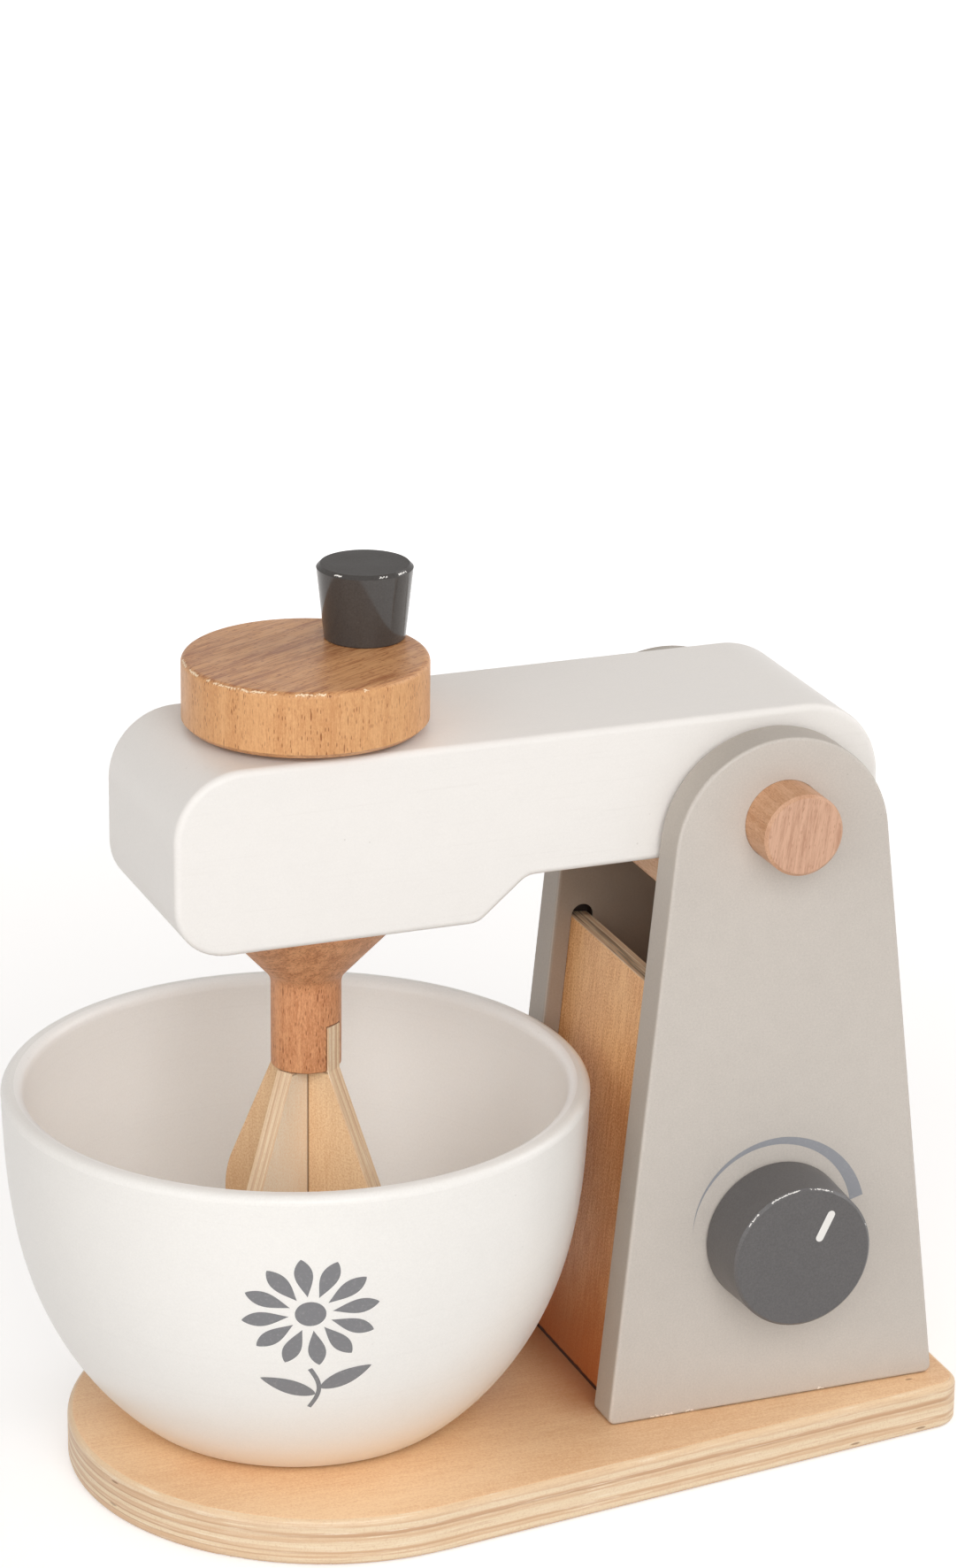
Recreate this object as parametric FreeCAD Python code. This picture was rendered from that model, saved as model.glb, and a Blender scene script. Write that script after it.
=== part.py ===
import FreeCAD, Part
import math
import os

# Wooden toy stand mixer: a plywood base board carries two tapered side panels, and a
# tilting arm between them drives a whisk by a crank disc over a loose bowl.
# Units are millimetres. +Z is up, +X points from the bowl to the stand, and -Y is the
# side with the dial. The origin is the centre of the base board's underside.

Vector = FreeCAD.Vector

# ---- driving dimensions -------------------------------------------------------------

# base board
base_thickness = 13.0
base_front_radius = 69.0
base_rear_width = 98.0
base_corner_radius = 8.0
base_edge_radius = 2.0
base_rear_margin = 5.8        # base left free behind the panels' feet
base_front_reach = 63.4       # from the spindle axis to the base's front end

# side panels
panel_gap = 60.0              # between the panels' inner faces
panel_thickness = 11.0
panel_foot_length = 95.0
panel_crown_radius = 30.2
panel_crown_height = 157.2    # crown centre above the base's top
panel_crown_setback = 45.9    # crown centre behind the foot's front corner
panel_foot_radius = 2.0
panel_edge_radius = 1.0

# cross boards, let into grooves in the panels and parallel to the panels' edges
board_thickness = 6.0
board_setback = 5.0
front_board_height = 117.4    # top of the front board above the base's top
board_edge_radius = 0.4
groove_depth = 4.0
groove_side_gap = 0.15

# arm
pivot_above_crown = 7.8
pivot_radius = 11.0
pivot_stick_out = 12.6        # dowel beyond each panel's outer face
pivot_end_chamfer = 0.8
arm_side_gap = 1.5
arm_above_pivot = 26.1
arm_below_pivot = 11.5
arm_front_depth = 49.0
arm_nose_reach = 44.3         # from the spindle axis to the nose
arm_tail_reach = 32.5         # from the pivot axis to the rear end
arm_nose_top_radius = 18.0
arm_nose_bottom_radius = 13.9
arm_tail_top_radius = 21.2
arm_tail_bottom_radius = 3.0
arm_step_radius = 6.0
arm_step_slant = 13.4         # length of the slanting step in the underside
arm_step_start = 37.0         # from the spindle axis to the foot of the step
arm_edge_radius = 1.8

# bar that carries the arm at rest and stops it when it is tipped back
bar_width = 12.0
bar_height = 12.0
bar_edge_radius = 0.8
bar_dowel_radius = 4.0
bar_dowel_depth = 8.0

# crank disc, knob and spindle
disc_radius = 31.7
disc_thickness = 17.3
disc_top_radius = 1.6
disc_bottom_chamfer = 1.2
spindle_radius = 7.0
disc_washer_radius = 15.0
disc_washer_thickness = 1.3
spindle_disc_depth = 11.0
spindle_hub_depth = 21.0
crank_angle = 25.0            # degrees from +X towards +Y
crank_knob_height = 19.8
crank_knob_foot_radius = 10.5
crank_knob_top_radius = 12.5
crank_knob_bevel = 1.0
crank_knob_foot_rounding = 0.5
crank_dowel_radius = 4.0
crank_dowel_down = 8.8
crank_dowel_up = 10.8

# whisk
hub_length = 43.3
hub_stem_radius = 9.2
hub_flare_radius = 26.3
hub_lip_height = 0.4
hub_stem_length = 24.5
hub_neck_radius = 5.0
hub_edge_radius = 0.6
hub_slot_depth = 12.4
blade_thickness = 5.0
blade_angle = 33.0            # degrees from -Y towards +X, for the blade in the slot
blade_radius = 25.4
blade_straight = 13.0         # upright stretch below the widest place
blade_floor_gap = 11.5        # from the bowl's floor to the whisk's lowest point
blade_edge_radius = 0.4

# bowl
bowl_height = 92.0
bowl_rim_radius = 77.2
bowl_foot_radius = 42.6
bowl_wall = 6.0
bowl_floor = 7.0
bowl_foot_fillet = 7.0
bowl_inner_fillet = 12.0
bowl_rim_outer_radius = 2.2
bowl_rim_inner_radius = 2.6
bowl_forward = 1.1            # bowl axis in front of the spindle axis
bowl_sideways = 4.8           # bowl axis towards +Y of the spindle axis
bowl_board_gap = 8.3          # rim to the front board's face at rim height
bowl_belly = [(0.18, 0.46), (0.42, 0.79), (0.68, 0.945), (0.97, 0.997)]  # height, swell
bowl_inside_points = 9        # points that lead the inside curve from the rim to the foot
bowl_inside_stop = 1.0        # height above the floor where those points end

# dial
dial_height = 49.2            # axis above the base's top
dial_behind_crown = 1.0
dial_depth = 17.3
dial_root_radius = 20.2
dial_face_radius = 19.5
dial_bevel = 0.7
dial_screw_radius = 2.0
dial_screw_grip = 12.0        # thread length in the knob
dial_head_radius = 4.2
dial_head_height = 2.6
dial_head_rounding = 1.56
dial_washer_radius = 6.5
dial_washer_thickness = 1.2

# screws through the base board into the panels
screw_radius = 2.0
screw_head_radius = 4.2
screw_head_depth = 2.4
screw_head_sink = 0.4
screw_grip = 24.0             # thread length in the panel
screw_tip = 4.0
screw_tip_radius = 0.4
screw_inset = 18.0            # from the ends of the panel's foot
recess_length = 4.4
recess_width = 0.9
recess_depth = 1.4

# fits
running_gap = 0.08            # radial, for turning shafts
glue_gap = 0.05               # radial or sideways, for glued and screwed seats
end_gap = 0.2                 # between a board's or dowel's end and the bottom of its seat
rest_gap = 0.3                # between faces of pieces that move past each other
sweep_gap = 1.0               # between the rear board and the arm's swinging tail

# how near two places lie to count as one
same_point = 1e-6
same_level = 1e-4
same_radius = 0.01

full_turn = 360
quarter_turn = 90

# ---- derived places -----------------------------------------------------------------

base_top = base_thickness
crown_z = base_top + panel_crown_height
pivot_z = crown_z + pivot_above_crown
panel_inner = panel_gap / 2
panel_outer = panel_inner + panel_thickness
panel_middle = panel_inner + panel_thickness / 2

arm_half = panel_inner - arm_side_gap
arm_top = pivot_z + arm_above_pivot
arm_rear_under = pivot_z - arm_below_pivot
arm_front_under = arm_top - arm_front_depth

bowl_foot_z = base_top + rest_gap
rim_z = bowl_foot_z + bowl_height
bowl_floor_z = bowl_foot_z + bowl_floor


def tangent_point(start, centre, radius, side):
    """Where the line from start touches the circle; side is +1 or -1."""
    dx = start[0] - centre[0]
    dz = start[1] - centre[1]
    angle = math.atan2(dz, dx) + side * math.acos(radius / math.hypot(dx, dz))
    return (centre[0] + radius * math.cos(angle), centre[1] + radius * math.sin(angle))


def x_on_line(first, second, z):
    return first[0] + (second[0] - first[0]) * (z - first[1]) / (second[1] - first[1])


# The stand is laid out from the panels' front foot corner, and then shifted so that the
# origin is in the middle of the base board.
crown_from_foot = (panel_crown_setback, crown_z)
touch_from_foot = tangent_point((0.0, base_top), crown_from_foot, panel_crown_radius, -1)
front_lean = math.atan2(touch_from_foot[0], touch_from_foot[1] - base_top)
board_face_at_rim = (
    x_on_line((0.0, base_top), touch_from_foot, rim_z) + board_setback / math.cos(front_lean)
)
spindle_from_foot = board_face_at_rim - bowl_board_gap - bowl_rim_radius + bowl_forward
base_front_from_foot = spindle_from_foot - base_front_reach
base_rear_from_foot = panel_foot_length + base_rear_margin
base_length = base_rear_from_foot - base_front_from_foot

foot_front_x = base_length / 2 - base_rear_from_foot
foot_rear_x = foot_front_x + panel_foot_length
crown_x = foot_front_x + panel_crown_setback
pivot_x = crown_x
spindle_x = foot_front_x + spindle_from_foot
front_touch = (foot_front_x + touch_from_foot[0], touch_from_foot[1])
rear_touch = tangent_point((foot_rear_x, base_top), (crown_x, crown_z), panel_crown_radius, 1)
rear_lean = math.atan2(rear_touch[0] - foot_rear_x, rear_touch[1] - base_top)

tail_sweep = math.hypot(arm_tail_reach, arm_below_pivot)
rear_board_height = pivot_z - tail_sweep - sweep_gap - base_top

bar_rear_x = pivot_x - arm_below_pivot - rest_gap
bar_front_x = bar_rear_x - bar_width
bar_top = arm_rear_under - rest_gap

disc_bottom = arm_top + rest_gap + disc_washer_thickness
disc_top = disc_bottom + disc_thickness
crank_reach = disc_radius - crank_knob_foot_radius
crank_x = spindle_x + crank_reach * math.cos(math.radians(crank_angle))
crank_y = crank_reach * math.sin(math.radians(crank_angle))

hub_top = arm_front_under - rest_gap
hub_bottom = hub_top - hub_length
blade_bottom = bowl_floor_z + blade_floor_gap
blade_centre_z = blade_bottom + blade_radius + blade_straight
blade_lap_z = (blade_bottom + hub_bottom) / 2

bowl_x = spindle_x - bowl_forward
bowl_y = bowl_sideways

dial_x = crown_x + dial_behind_crown
dial_z = base_top + dial_height

# ---- helpers ------------------------------------------------------------------------


def upright(points):
    """Points given as (x, z), in the plane y = 0."""
    return [Vector(x, 0, z) for x, z in points]


def face_inside(edges):
    return Part.Face(Part.Wire(Part.__sortEdges__(edges)))


def corner_arc(before, corner, after, radius):
    """Start, middle and end of the arc that rounds the corner between two points."""
    back = (before - corner).normalize()
    ahead = (after - corner).normalize()
    half = back.getAngle(ahead) / 2
    cut = radius / math.tan(half)
    bisector = (back + ahead).normalize()
    middle = corner + bisector * (radius / math.sin(half) - radius)
    return corner + back * cut, middle, corner + ahead * cut


def rounded_face(corners):
    """Face inside a polygon of (point, radius) corners, each rounded by its radius."""
    edges = []
    starts = []
    ends = []
    count = len(corners)
    for index, (point, radius) in enumerate(corners):
        start = point
        end = point
        if radius > 0:
            following = corners[(index + 1) % count][0]
            start, middle, end = corner_arc(corners[index - 1][0], point, following, radius)
            edges.append(Part.Arc(start, middle, end).toShape())
        starts.append(start)
        ends.append(end)
    for index, end in enumerate(ends):
        start = starts[(index + 1) % count]
        if end.distanceToPoint(start) > same_point:
            edges.append(Part.LineSegment(end, start).toShape())
    return face_inside(edges)


def revolved(face):
    return face.revolve(Vector(0, 0, 0), Vector(0, 0, 1), full_turn)


def turned(corners):
    """Solid of revolution about Z from (radius, z, corner radius) corners."""
    return revolved(rounded_face([(Vector(r, 0, z), corner) for r, z, corner in corners]))


def plate(face, thickness, middle=0.0):
    """Prism of a face in the plane y = 0, centred on y = middle."""
    shape = face.extrude(Vector(0, thickness, 0))
    shape.translate(Vector(0, middle - thickness / 2, 0))
    return shape


def block(low, high):
    size = [high[axis] - low[axis] for axis in range(3)]
    return Part.makeBox(size[0], size[1], size[2], Vector(*low))


def moved(shape, x=0.0, y=0.0, z=0.0):
    copy = shape.copy()
    copy.translate(Vector(x, y, z))
    return copy


def spun(shape, degrees):
    copy = shape.copy()
    copy.rotate(Vector(0, 0, 0), Vector(0, 0, 1), degrees)
    return copy


def facing_dial_side(shape):
    """Turns a shape made along +Z so that it points along -Y."""
    copy = shape.copy()
    copy.rotate(Vector(0, 0, 0), Vector(1, 0, 0), quarter_turn)
    return copy


def cross_recess(shape, top):
    """Cuts a screwdriver's cross recess into a screw head whose flat end is at z = top."""
    for turn in (0, quarter_turn):
        slot = block((-recess_length / 2, -recess_width / 2, top),
                     (recess_length / 2, recess_width / 2, top + recess_depth))
        shape = shape.cut(spun(slot, turn))
    return shape


def fillet_where(shape, radius, wanted):
    edges = [edge for edge in shape.Edges if wanted(edge)]
    return shape.makeFillet(radius, edges)


def lies_at(edge, axis, value):
    low = [edge.BoundBox.XMin, edge.BoundBox.YMin, edge.BoundBox.ZMin][axis]
    high = [edge.BoundBox.XMax, edge.BoundBox.YMax, edge.BoundBox.ZMax][axis]
    return abs(low - value) < same_level and abs(high - value) < same_level


def save(name, shape):
    solids = shape.Solids
    whole = solids[0] if len(solids) == 1 else Part.makeCompound(solids)
    whole.exportStep(os.path.join("parts", name + ".step"))


# ---- base board ---------------------------------------------------------------------


def screw_places():
    places = []
    for x in (foot_front_x + screw_inset, foot_rear_x - screw_inset):
        for y in (-panel_middle, panel_middle):
            places.append((x, y))
    return places


def base_outline():
    """Face with a round front end and straight sides that narrow towards the rear."""
    front_x = -base_length / 2
    rear_x = base_length / 2
    rear_y = base_rear_width / 2
    arc_centre = (front_x + base_front_radius, 0.0)
    touch = tangent_point((rear_x, -rear_y), arc_centre, base_front_radius, -1)
    near_touch = Vector(touch[0], touch[1], 0)
    far_touch = Vector(touch[0], -touch[1], 0)
    rear_near = Vector(rear_x, -rear_y, 0)
    rear_far = Vector(rear_x, rear_y, 0)
    return face_inside([
        Part.LineSegment(rear_near, near_touch).toShape(),
        Part.Arc(near_touch, Vector(front_x, 0, 0), far_touch).toShape(),
        Part.LineSegment(far_touch, rear_far).toShape(),
        Part.LineSegment(rear_far, rear_near).toShape(),
    ])


def screw_seat(x, y):
    """Tools that cut one countersunk screw hole through the base board."""
    hole_radius = screw_radius + glue_gap
    mouth_radius = screw_head_radius + glue_gap
    return [
        Part.makeCylinder(hole_radius, base_thickness, Vector(x, y, 0)),
        Part.makeCone(mouth_radius, hole_radius, screw_head_depth, Vector(x, y, screw_head_sink)),
        Part.makeCylinder(mouth_radius, screw_head_sink, Vector(x, y, 0)),
    ]


def base_board():
    board = base_outline().extrude(Vector(0, 0, base_thickness))
    board = fillet_where(board, base_corner_radius, lambda edge: lies_at(edge, 0, base_length / 2)
                         and edge.BoundBox.ZLength > base_thickness / 2)
    board = fillet_where(board, base_edge_radius, lambda edge: lies_at(edge, 2, 0)
                         or lies_at(edge, 2, base_thickness))
    for x, y in screw_places():
        board = board.cut(screw_seat(x, y))
    return board


def base_screw():
    """Countersunk screw on the Z axis, with the flat end of its head at z = 0."""
    shank_length = base_top + screw_grip - screw_tip - screw_head_sink - screw_head_depth
    head = Part.makeCone(screw_head_radius, screw_radius, screw_head_depth)
    shank = Part.makeCylinder(screw_radius, shank_length, Vector(0, 0, screw_head_depth))
    tip = Part.makeCone(screw_radius, screw_tip_radius, screw_tip,
                        Vector(0, 0, screw_head_depth + shank_length))
    return cross_recess(head.fuse([shank, tip]).removeSplitter(), 0)


def base_screws():
    return Part.makeCompound([moved(base_screw(), x, y, screw_head_sink)
                              for x, y in screw_places()])


# ---- side panels, cross boards and rest bar --------------------------------------------


def leaning_slab(foot_x, lean, outer_offset, thickness, height, half_width):
    """Slab parallel to a panel's slanting edge, from the base's top up to height.

    foot_x is the edge's foot, outer_offset the distance from the edge to the slab's outer
    face, measured square to it, and the slab lies on the inner side of the stand.
    """
    inward = 1.0 if foot_x < crown_x else -1.0
    along = height / math.cos(lean)
    below = thickness + outer_offset
    low_x = outer_offset if inward > 0 else -outer_offset - thickness
    slab = block((low_x, -half_width, -below), (low_x + thickness, half_width, along))
    slab.rotate(Vector(0, 0, 0), Vector(0, 1, 0), math.degrees(lean))
    slab.translate(Vector(foot_x, 0, base_top))
    return slab


def cross_board(foot_x, lean, height):
    half_width = panel_inner + groove_depth - end_gap
    board = leaning_slab(foot_x, lean, board_setback, board_thickness, height, half_width)
    board = board.makeFillet(board_edge_radius, board.Edges)
    under = block((-base_length, -half_width, -base_length), (base_length, half_width, base_top))
    return board.cut(under)


def groove(foot_x, lean, height):
    """Tool that cuts a cross board's groove, whose top end is round."""
    width = board_thickness + 2 * groove_side_gap
    half_width = panel_inner + groove_depth
    offset = board_setback - groove_side_gap
    straight = height + groove_side_gap
    slot = leaning_slab(foot_x, lean, offset, width, straight, half_width)
    inward = 1.0 if foot_x < crown_x else -1.0
    end_centre = Vector(inward * (offset + width / 2), -half_width, straight / math.cos(lean))
    end = Part.makeCylinder(width / 2, 2 * half_width, end_centre, Vector(0, 1, 0))
    end.rotate(Vector(0, 0, 0), Vector(0, 1, 0), math.degrees(lean))
    end.translate(Vector(foot_x, 0, base_top))
    return slot.fuse(end)


def bar_rod(side, radius, depth):
    """Rod that reaches depth into the rest bar and into the panel on that side."""
    start = Vector((bar_front_x + bar_rear_x) / 2, side * panel_inner - depth,
                   bar_top - bar_height / 2)
    return Part.makeCylinder(radius, 2 * depth, start, Vector(0, 1, 0))


def bar_dowel(side):
    """Dowel between the rest bar and the panel on that side, -1 for the dial side."""
    return bar_rod(side, bar_dowel_radius, bar_dowel_depth)


def bar_dowel_hole(side):
    return bar_rod(side, bar_dowel_radius + glue_gap, bar_dowel_depth + end_gap)


def panel_outline():
    """Face of a panel; its crown is the rounded corner where the slanting edges meet."""
    rise = panel_foot_length / (math.tan(front_lean) - math.tan(rear_lean))
    peak = (foot_front_x + rise * math.tan(front_lean), base_top + rise)
    corners = upright([(foot_front_x, base_top), peak, (foot_rear_x, base_top)])
    radii = (panel_foot_radius, panel_crown_radius, panel_foot_radius)
    return rounded_face(list(zip(corners, radii)))


def side_panel(side):
    """Panel on the dial side (-1) or on the plain side (+1)."""
    panel = plate(panel_outline(), panel_thickness, side * panel_middle)
    panel = fillet_where(panel, panel_edge_radius, lambda edge: lies_at(edge, 1, side * panel_inner)
                         or lies_at(edge, 1, side * panel_outer))
    tools = [
        groove(foot_front_x, front_lean, front_board_height),
        groove(foot_rear_x, rear_lean, rear_board_height),
        bar_dowel_hole(side),
        Part.makeCylinder(pivot_radius + running_gap, 2 * panel_outer,
                          Vector(pivot_x, -panel_outer, pivot_z), Vector(0, 1, 0)),
    ]
    for x, y in screw_places():
        if y * side > 0:
            tools.append(Part.makeCylinder(screw_radius + glue_gap, screw_grip + glue_gap,
                                           Vector(x, y, base_top)))
    if side < 0:
        tools.append(Part.makeCylinder(dial_screw_radius + running_gap, panel_thickness,
                                       Vector(dial_x, -panel_outer, dial_z), Vector(0, 1, 0)))
    return panel.cut(tools)


def arm_rest_bar():
    bar = block((bar_front_x, -panel_inner, bar_top - bar_height),
                (bar_rear_x, panel_inner, bar_top))
    bar = fillet_where(bar, bar_edge_radius, lambda edge: edge.BoundBox.YLength > panel_inner)
    return bar.cut([bar_dowel_hole(-1), bar_dowel_hole(1)])


def rest_bar_dowels():
    return Part.makeCompound([bar_dowel(-1), bar_dowel(1)])


# ---- arm ------------------------------------------------------------------------------


def arm():
    nose_x = spindle_x - arm_nose_reach
    tail_x = pivot_x + arm_tail_reach
    step_x = spindle_x + arm_step_start
    corners = upright([
        (nose_x, arm_front_under),
        (nose_x, arm_top),
        (tail_x, arm_top),
        (tail_x, arm_rear_under),
        (step_x + arm_step_slant, arm_rear_under),
        (step_x, arm_front_under),
    ])
    radii = (arm_nose_bottom_radius, arm_nose_top_radius, arm_tail_top_radius,
             arm_tail_bottom_radius, arm_step_radius, arm_step_radius)
    body = plate(rounded_face(list(zip(corners, radii))), 2 * arm_half)
    body = fillet_where(body, arm_edge_radius, lambda edge: lies_at(edge, 1, arm_half)
                        or lies_at(edge, 1, -arm_half))
    pivot_bore = Part.makeCylinder(pivot_radius + glue_gap, 2 * arm_half,
                                   Vector(pivot_x, -arm_half, pivot_z), Vector(0, 1, 0))
    spindle_bore = Part.makeCylinder(spindle_radius + running_gap, arm_front_depth,
                                     Vector(spindle_x, 0, arm_front_under))
    return body.cut([pivot_bore, spindle_bore])


def pivot_dowel():
    half = panel_outer + pivot_stick_out
    dowel = Part.makeCylinder(pivot_radius, 2 * half, Vector(pivot_x, -half, pivot_z),
                              Vector(0, 1, 0))
    ends = [edge for edge in dowel.Edges if lies_at(edge, 1, half) or lies_at(edge, 1, -half)]
    return dowel.makeChamfer(pivot_end_chamfer, ends)


# ---- crank and whisk --------------------------------------------------------------------


def crank_disc():
    profile = [
        (0, disc_bottom, 0),
        (disc_radius - disc_bottom_chamfer, disc_bottom, 0),
        (disc_radius, disc_bottom + disc_bottom_chamfer, 0),
        (disc_radius, disc_top, disc_top_radius),
        (0, disc_top, 0),
    ]
    disc = moved(turned(profile), spindle_x)
    socket = Part.makeCylinder(spindle_radius + glue_gap, spindle_disc_depth,
                               Vector(spindle_x, 0, disc_bottom))
    dowel_hole = Part.makeCylinder(crank_dowel_radius + glue_gap, crank_dowel_down + glue_gap,
                                   Vector(crank_x, crank_y, disc_top - crank_dowel_down - glue_gap))
    return disc.cut([socket, dowel_hole])


def disc_washer():
    place = Vector(spindle_x, 0, arm_top + rest_gap)
    washer = Part.makeCylinder(disc_washer_radius, disc_washer_thickness, place)
    bore = Part.makeCylinder(spindle_radius + glue_gap, disc_washer_thickness, place)
    return washer.cut(bore)


def crank_knob():
    top = disc_top + crank_knob_height
    profile = [
        (0, disc_top, 0),
        (crank_knob_foot_radius, disc_top, crank_knob_foot_rounding),
        (crank_knob_top_radius, top - crank_knob_bevel, 0),
        (crank_knob_top_radius - crank_knob_bevel, top, 0),
        (0, top, 0),
    ]
    knob = moved(turned(profile), crank_x, crank_y)
    dowel_hole = Part.makeCylinder(crank_dowel_radius + glue_gap, crank_dowel_up + glue_gap,
                                   Vector(crank_x, crank_y, disc_top))
    return knob.cut(dowel_hole)


def crank_knob_dowel():
    return Part.makeCylinder(crank_dowel_radius, crank_dowel_down + crank_dowel_up,
                             Vector(crank_x, crank_y, disc_top - crank_dowel_down))


def spindle_dowel():
    low = hub_top - spindle_hub_depth + end_gap
    high = disc_bottom + spindle_disc_depth - end_gap
    return Part.makeCylinder(spindle_radius, high - low, Vector(spindle_x, 0, low))


def whisk_hub():
    stem_top = hub_bottom + hub_stem_length
    profile = [
        (0, hub_bottom, 0),
        (hub_stem_radius, hub_bottom, hub_edge_radius),
        (hub_stem_radius, stem_top, hub_neck_radius),
        (hub_flare_radius, hub_top - hub_lip_height, 0),
        (hub_flare_radius, hub_top, 0),
        (0, hub_top, 0),
    ]
    hub = turned(profile)
    slot_half = blade_thickness / 2 + glue_gap
    slot = block((-hub_flare_radius, -slot_half, hub_bottom),
                 (hub_flare_radius, slot_half, hub_bottom + hub_slot_depth))
    socket = Part.makeCylinder(spindle_radius + glue_gap, spindle_hub_depth,
                               Vector(0, 0, hub_top - spindle_hub_depth))
    return moved(hub.cut([spun(slot, blade_angle - quarter_turn), socket]), spindle_x)


def blade_outline(top, shoulder):
    """Balloon-shaped face, up to top, where it is cut off at the shoulder's width."""
    touch = tangent_point((shoulder, hub_bottom), (0.0, blade_centre_z), blade_radius, -1)
    angle = math.atan2(touch[1] - blade_centre_z, touch[0])
    low_centre = blade_centre_z - blade_straight
    right = upright([
        (shoulder, top),
        (shoulder, hub_bottom),
        touch,
        (blade_radius * math.cos(angle / 2), blade_centre_z + blade_radius * math.sin(angle / 2)),
        (blade_radius, blade_centre_z),
        (blade_radius, low_centre),
    ])
    left = [Vector(-point.x, 0, point.z) for point in right]
    bottom = Vector(0, 0, low_centre - blade_radius)
    edges = [Part.LineSegment(left[0], right[0]).toShape()]
    for side in (right, left):
        if top > hub_bottom:
            edges.append(Part.LineSegment(side[0], side[1]).toShape())
        edges.append(Part.LineSegment(side[1], side[2]).toShape())
        edges.append(Part.Arc(side[2], side[3], side[4]).toShape())
        edges.append(Part.LineSegment(side[4], side[5]).toShape())
    edges.append(Part.Arc(right[5], bottom, left[5]).toShape())
    return face_inside(edges)


def whisk_blade(top, lap_low, lap_high, degrees):
    blade = plate(blade_outline(top, hub_stem_radius), blade_thickness)
    half = blade_thickness / 2
    blade = fillet_where(blade, blade_edge_radius, lambda edge: lies_at(edge, 1, half)
                         or lies_at(edge, 1, -half))
    lap_half = half + glue_gap
    lap = block((-lap_half, -blade_thickness, lap_low), (lap_half, blade_thickness, lap_high))
    return moved(spun(blade.cut(lap), degrees), spindle_x)


def whisk_blade_slotted():
    """The blade that is let into the hub's slot; its lap is open at the bottom."""
    top = hub_bottom + hub_slot_depth - glue_gap
    return whisk_blade(top, blade_bottom - blade_radius, blade_lap_z, blade_angle - quarter_turn)


def whisk_blade_crossing():
    """The blade that crosses the other one; its lap is open at the top."""
    return whisk_blade(hub_bottom, blade_lap_z, hub_top, blade_angle)


# ---- bowl -------------------------------------------------------------------------------


def bowl_outside():
    points = [Vector(bowl_foot_radius, 0, 0)]
    for height_share, swell in bowl_belly:
        radius = bowl_foot_radius + (bowl_rim_radius - bowl_foot_radius) * swell
        points.append(Vector(radius, 0, bowl_height * height_share))
    points.append(Vector(bowl_rim_radius, 0, bowl_height))
    curve = Part.BSplineCurve()
    curve.interpolate(points)
    return curve


def bowl_inside(outside):
    """The outside curve moved inwards by the wall, from the rim down to the floor."""
    points = [Vector(bowl_rim_radius - bowl_wall, 0, bowl_height)]
    length = outside.LastParameter - outside.FirstParameter
    for step in range(1, bowl_inside_points):
        at = outside.LastParameter - length * step / bowl_inside_points
        along = Vector(outside.tangent(at)[0])
        inwards = Vector(-along.z, 0, along.x)
        point = outside.value(at) + inwards * bowl_wall
        if point.z > bowl_floor + bowl_inside_stop:
            points.append(point)
    last = points[-1]
    slope = (points[-2] - last).normalize()
    points.append(last - slope * ((last.z - bowl_floor) / slope.z))
    curve = Part.BSplineCurve()
    curve.interpolate(points)
    return curve


def bowl_section(outside, inside):
    """Half of the bowl's section, between the axis and the two curves."""
    floor_middle = Vector(0, 0, bowl_floor)
    foot_middle = Vector(0, 0, 0)
    return face_inside([
        Part.LineSegment(foot_middle, outside.StartPoint).toShape(),
        outside.toShape(),
        Part.LineSegment(outside.EndPoint, inside.StartPoint).toShape(),
        inside.toShape(),
        Part.LineSegment(inside.EndPoint, floor_middle).toShape(),
        Part.LineSegment(floor_middle, foot_middle).toShape(),
    ])


def bowl():
    outside = bowl_outside()
    inside = bowl_inside(outside)
    shape = revolved(bowl_section(outside, inside))
    rounds = [
        (bowl_rim_outer_radius, bowl_rim_radius, bowl_height),
        (bowl_rim_inner_radius, inside.StartPoint.x, bowl_height),
        (bowl_inner_fillet, inside.EndPoint.x, bowl_floor),
        (bowl_foot_fillet, bowl_foot_radius, 0.0),
    ]
    for radius, edge_radius, height in rounds:
        shape = fillet_where(shape, radius, lambda edge: lies_at(edge, 2, height)
                             and abs(edge.BoundBox.XMax - edge_radius) < same_radius)
    return moved(shape, bowl_x, bowl_y, bowl_foot_z)


# ---- dial -------------------------------------------------------------------------------


def dial_knob():
    root = panel_outer + rest_gap
    profile = [
        (0, 0, 0),
        (dial_root_radius, 0, dial_bevel),
        (dial_face_radius, dial_depth - dial_bevel, 0),
        (dial_face_radius - dial_bevel, dial_depth, 0),
        (0, dial_depth, 0),
    ]
    knob = turned(profile)
    pilot = Part.makeCylinder(dial_screw_radius + glue_gap, dial_screw_grip + glue_gap)
    return moved(facing_dial_side(knob.cut(pilot)), dial_x, -root, dial_z)


def dial_washer():
    outer = Part.makeCylinder(dial_washer_radius, dial_washer_thickness)
    washer = outer.cut(Part.makeCylinder(dial_screw_radius + glue_gap, dial_washer_thickness))
    low = -panel_inner + rest_gap + dial_washer_thickness
    return moved(facing_dial_side(washer), dial_x, low, dial_z)


def dial_screw():
    shank_length = (dial_washer_thickness + rest_gap + panel_thickness + rest_gap
                    + dial_screw_grip)
    head = turned([
        (0, -dial_head_height, 0),
        (dial_head_radius, -dial_head_height, dial_head_rounding),
        (dial_head_radius, 0, 0),
        (0, 0, 0),
    ])
    shank = Part.makeCylinder(dial_screw_radius, shank_length)
    screw = cross_recess(head.fuse(shank).removeSplitter(), -dial_head_height)
    low = -panel_inner + rest_gap + dial_washer_thickness
    return moved(facing_dial_side(screw), dial_x, low, dial_z)


# ---- all pieces ---------------------------------------------------------------------------


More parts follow.
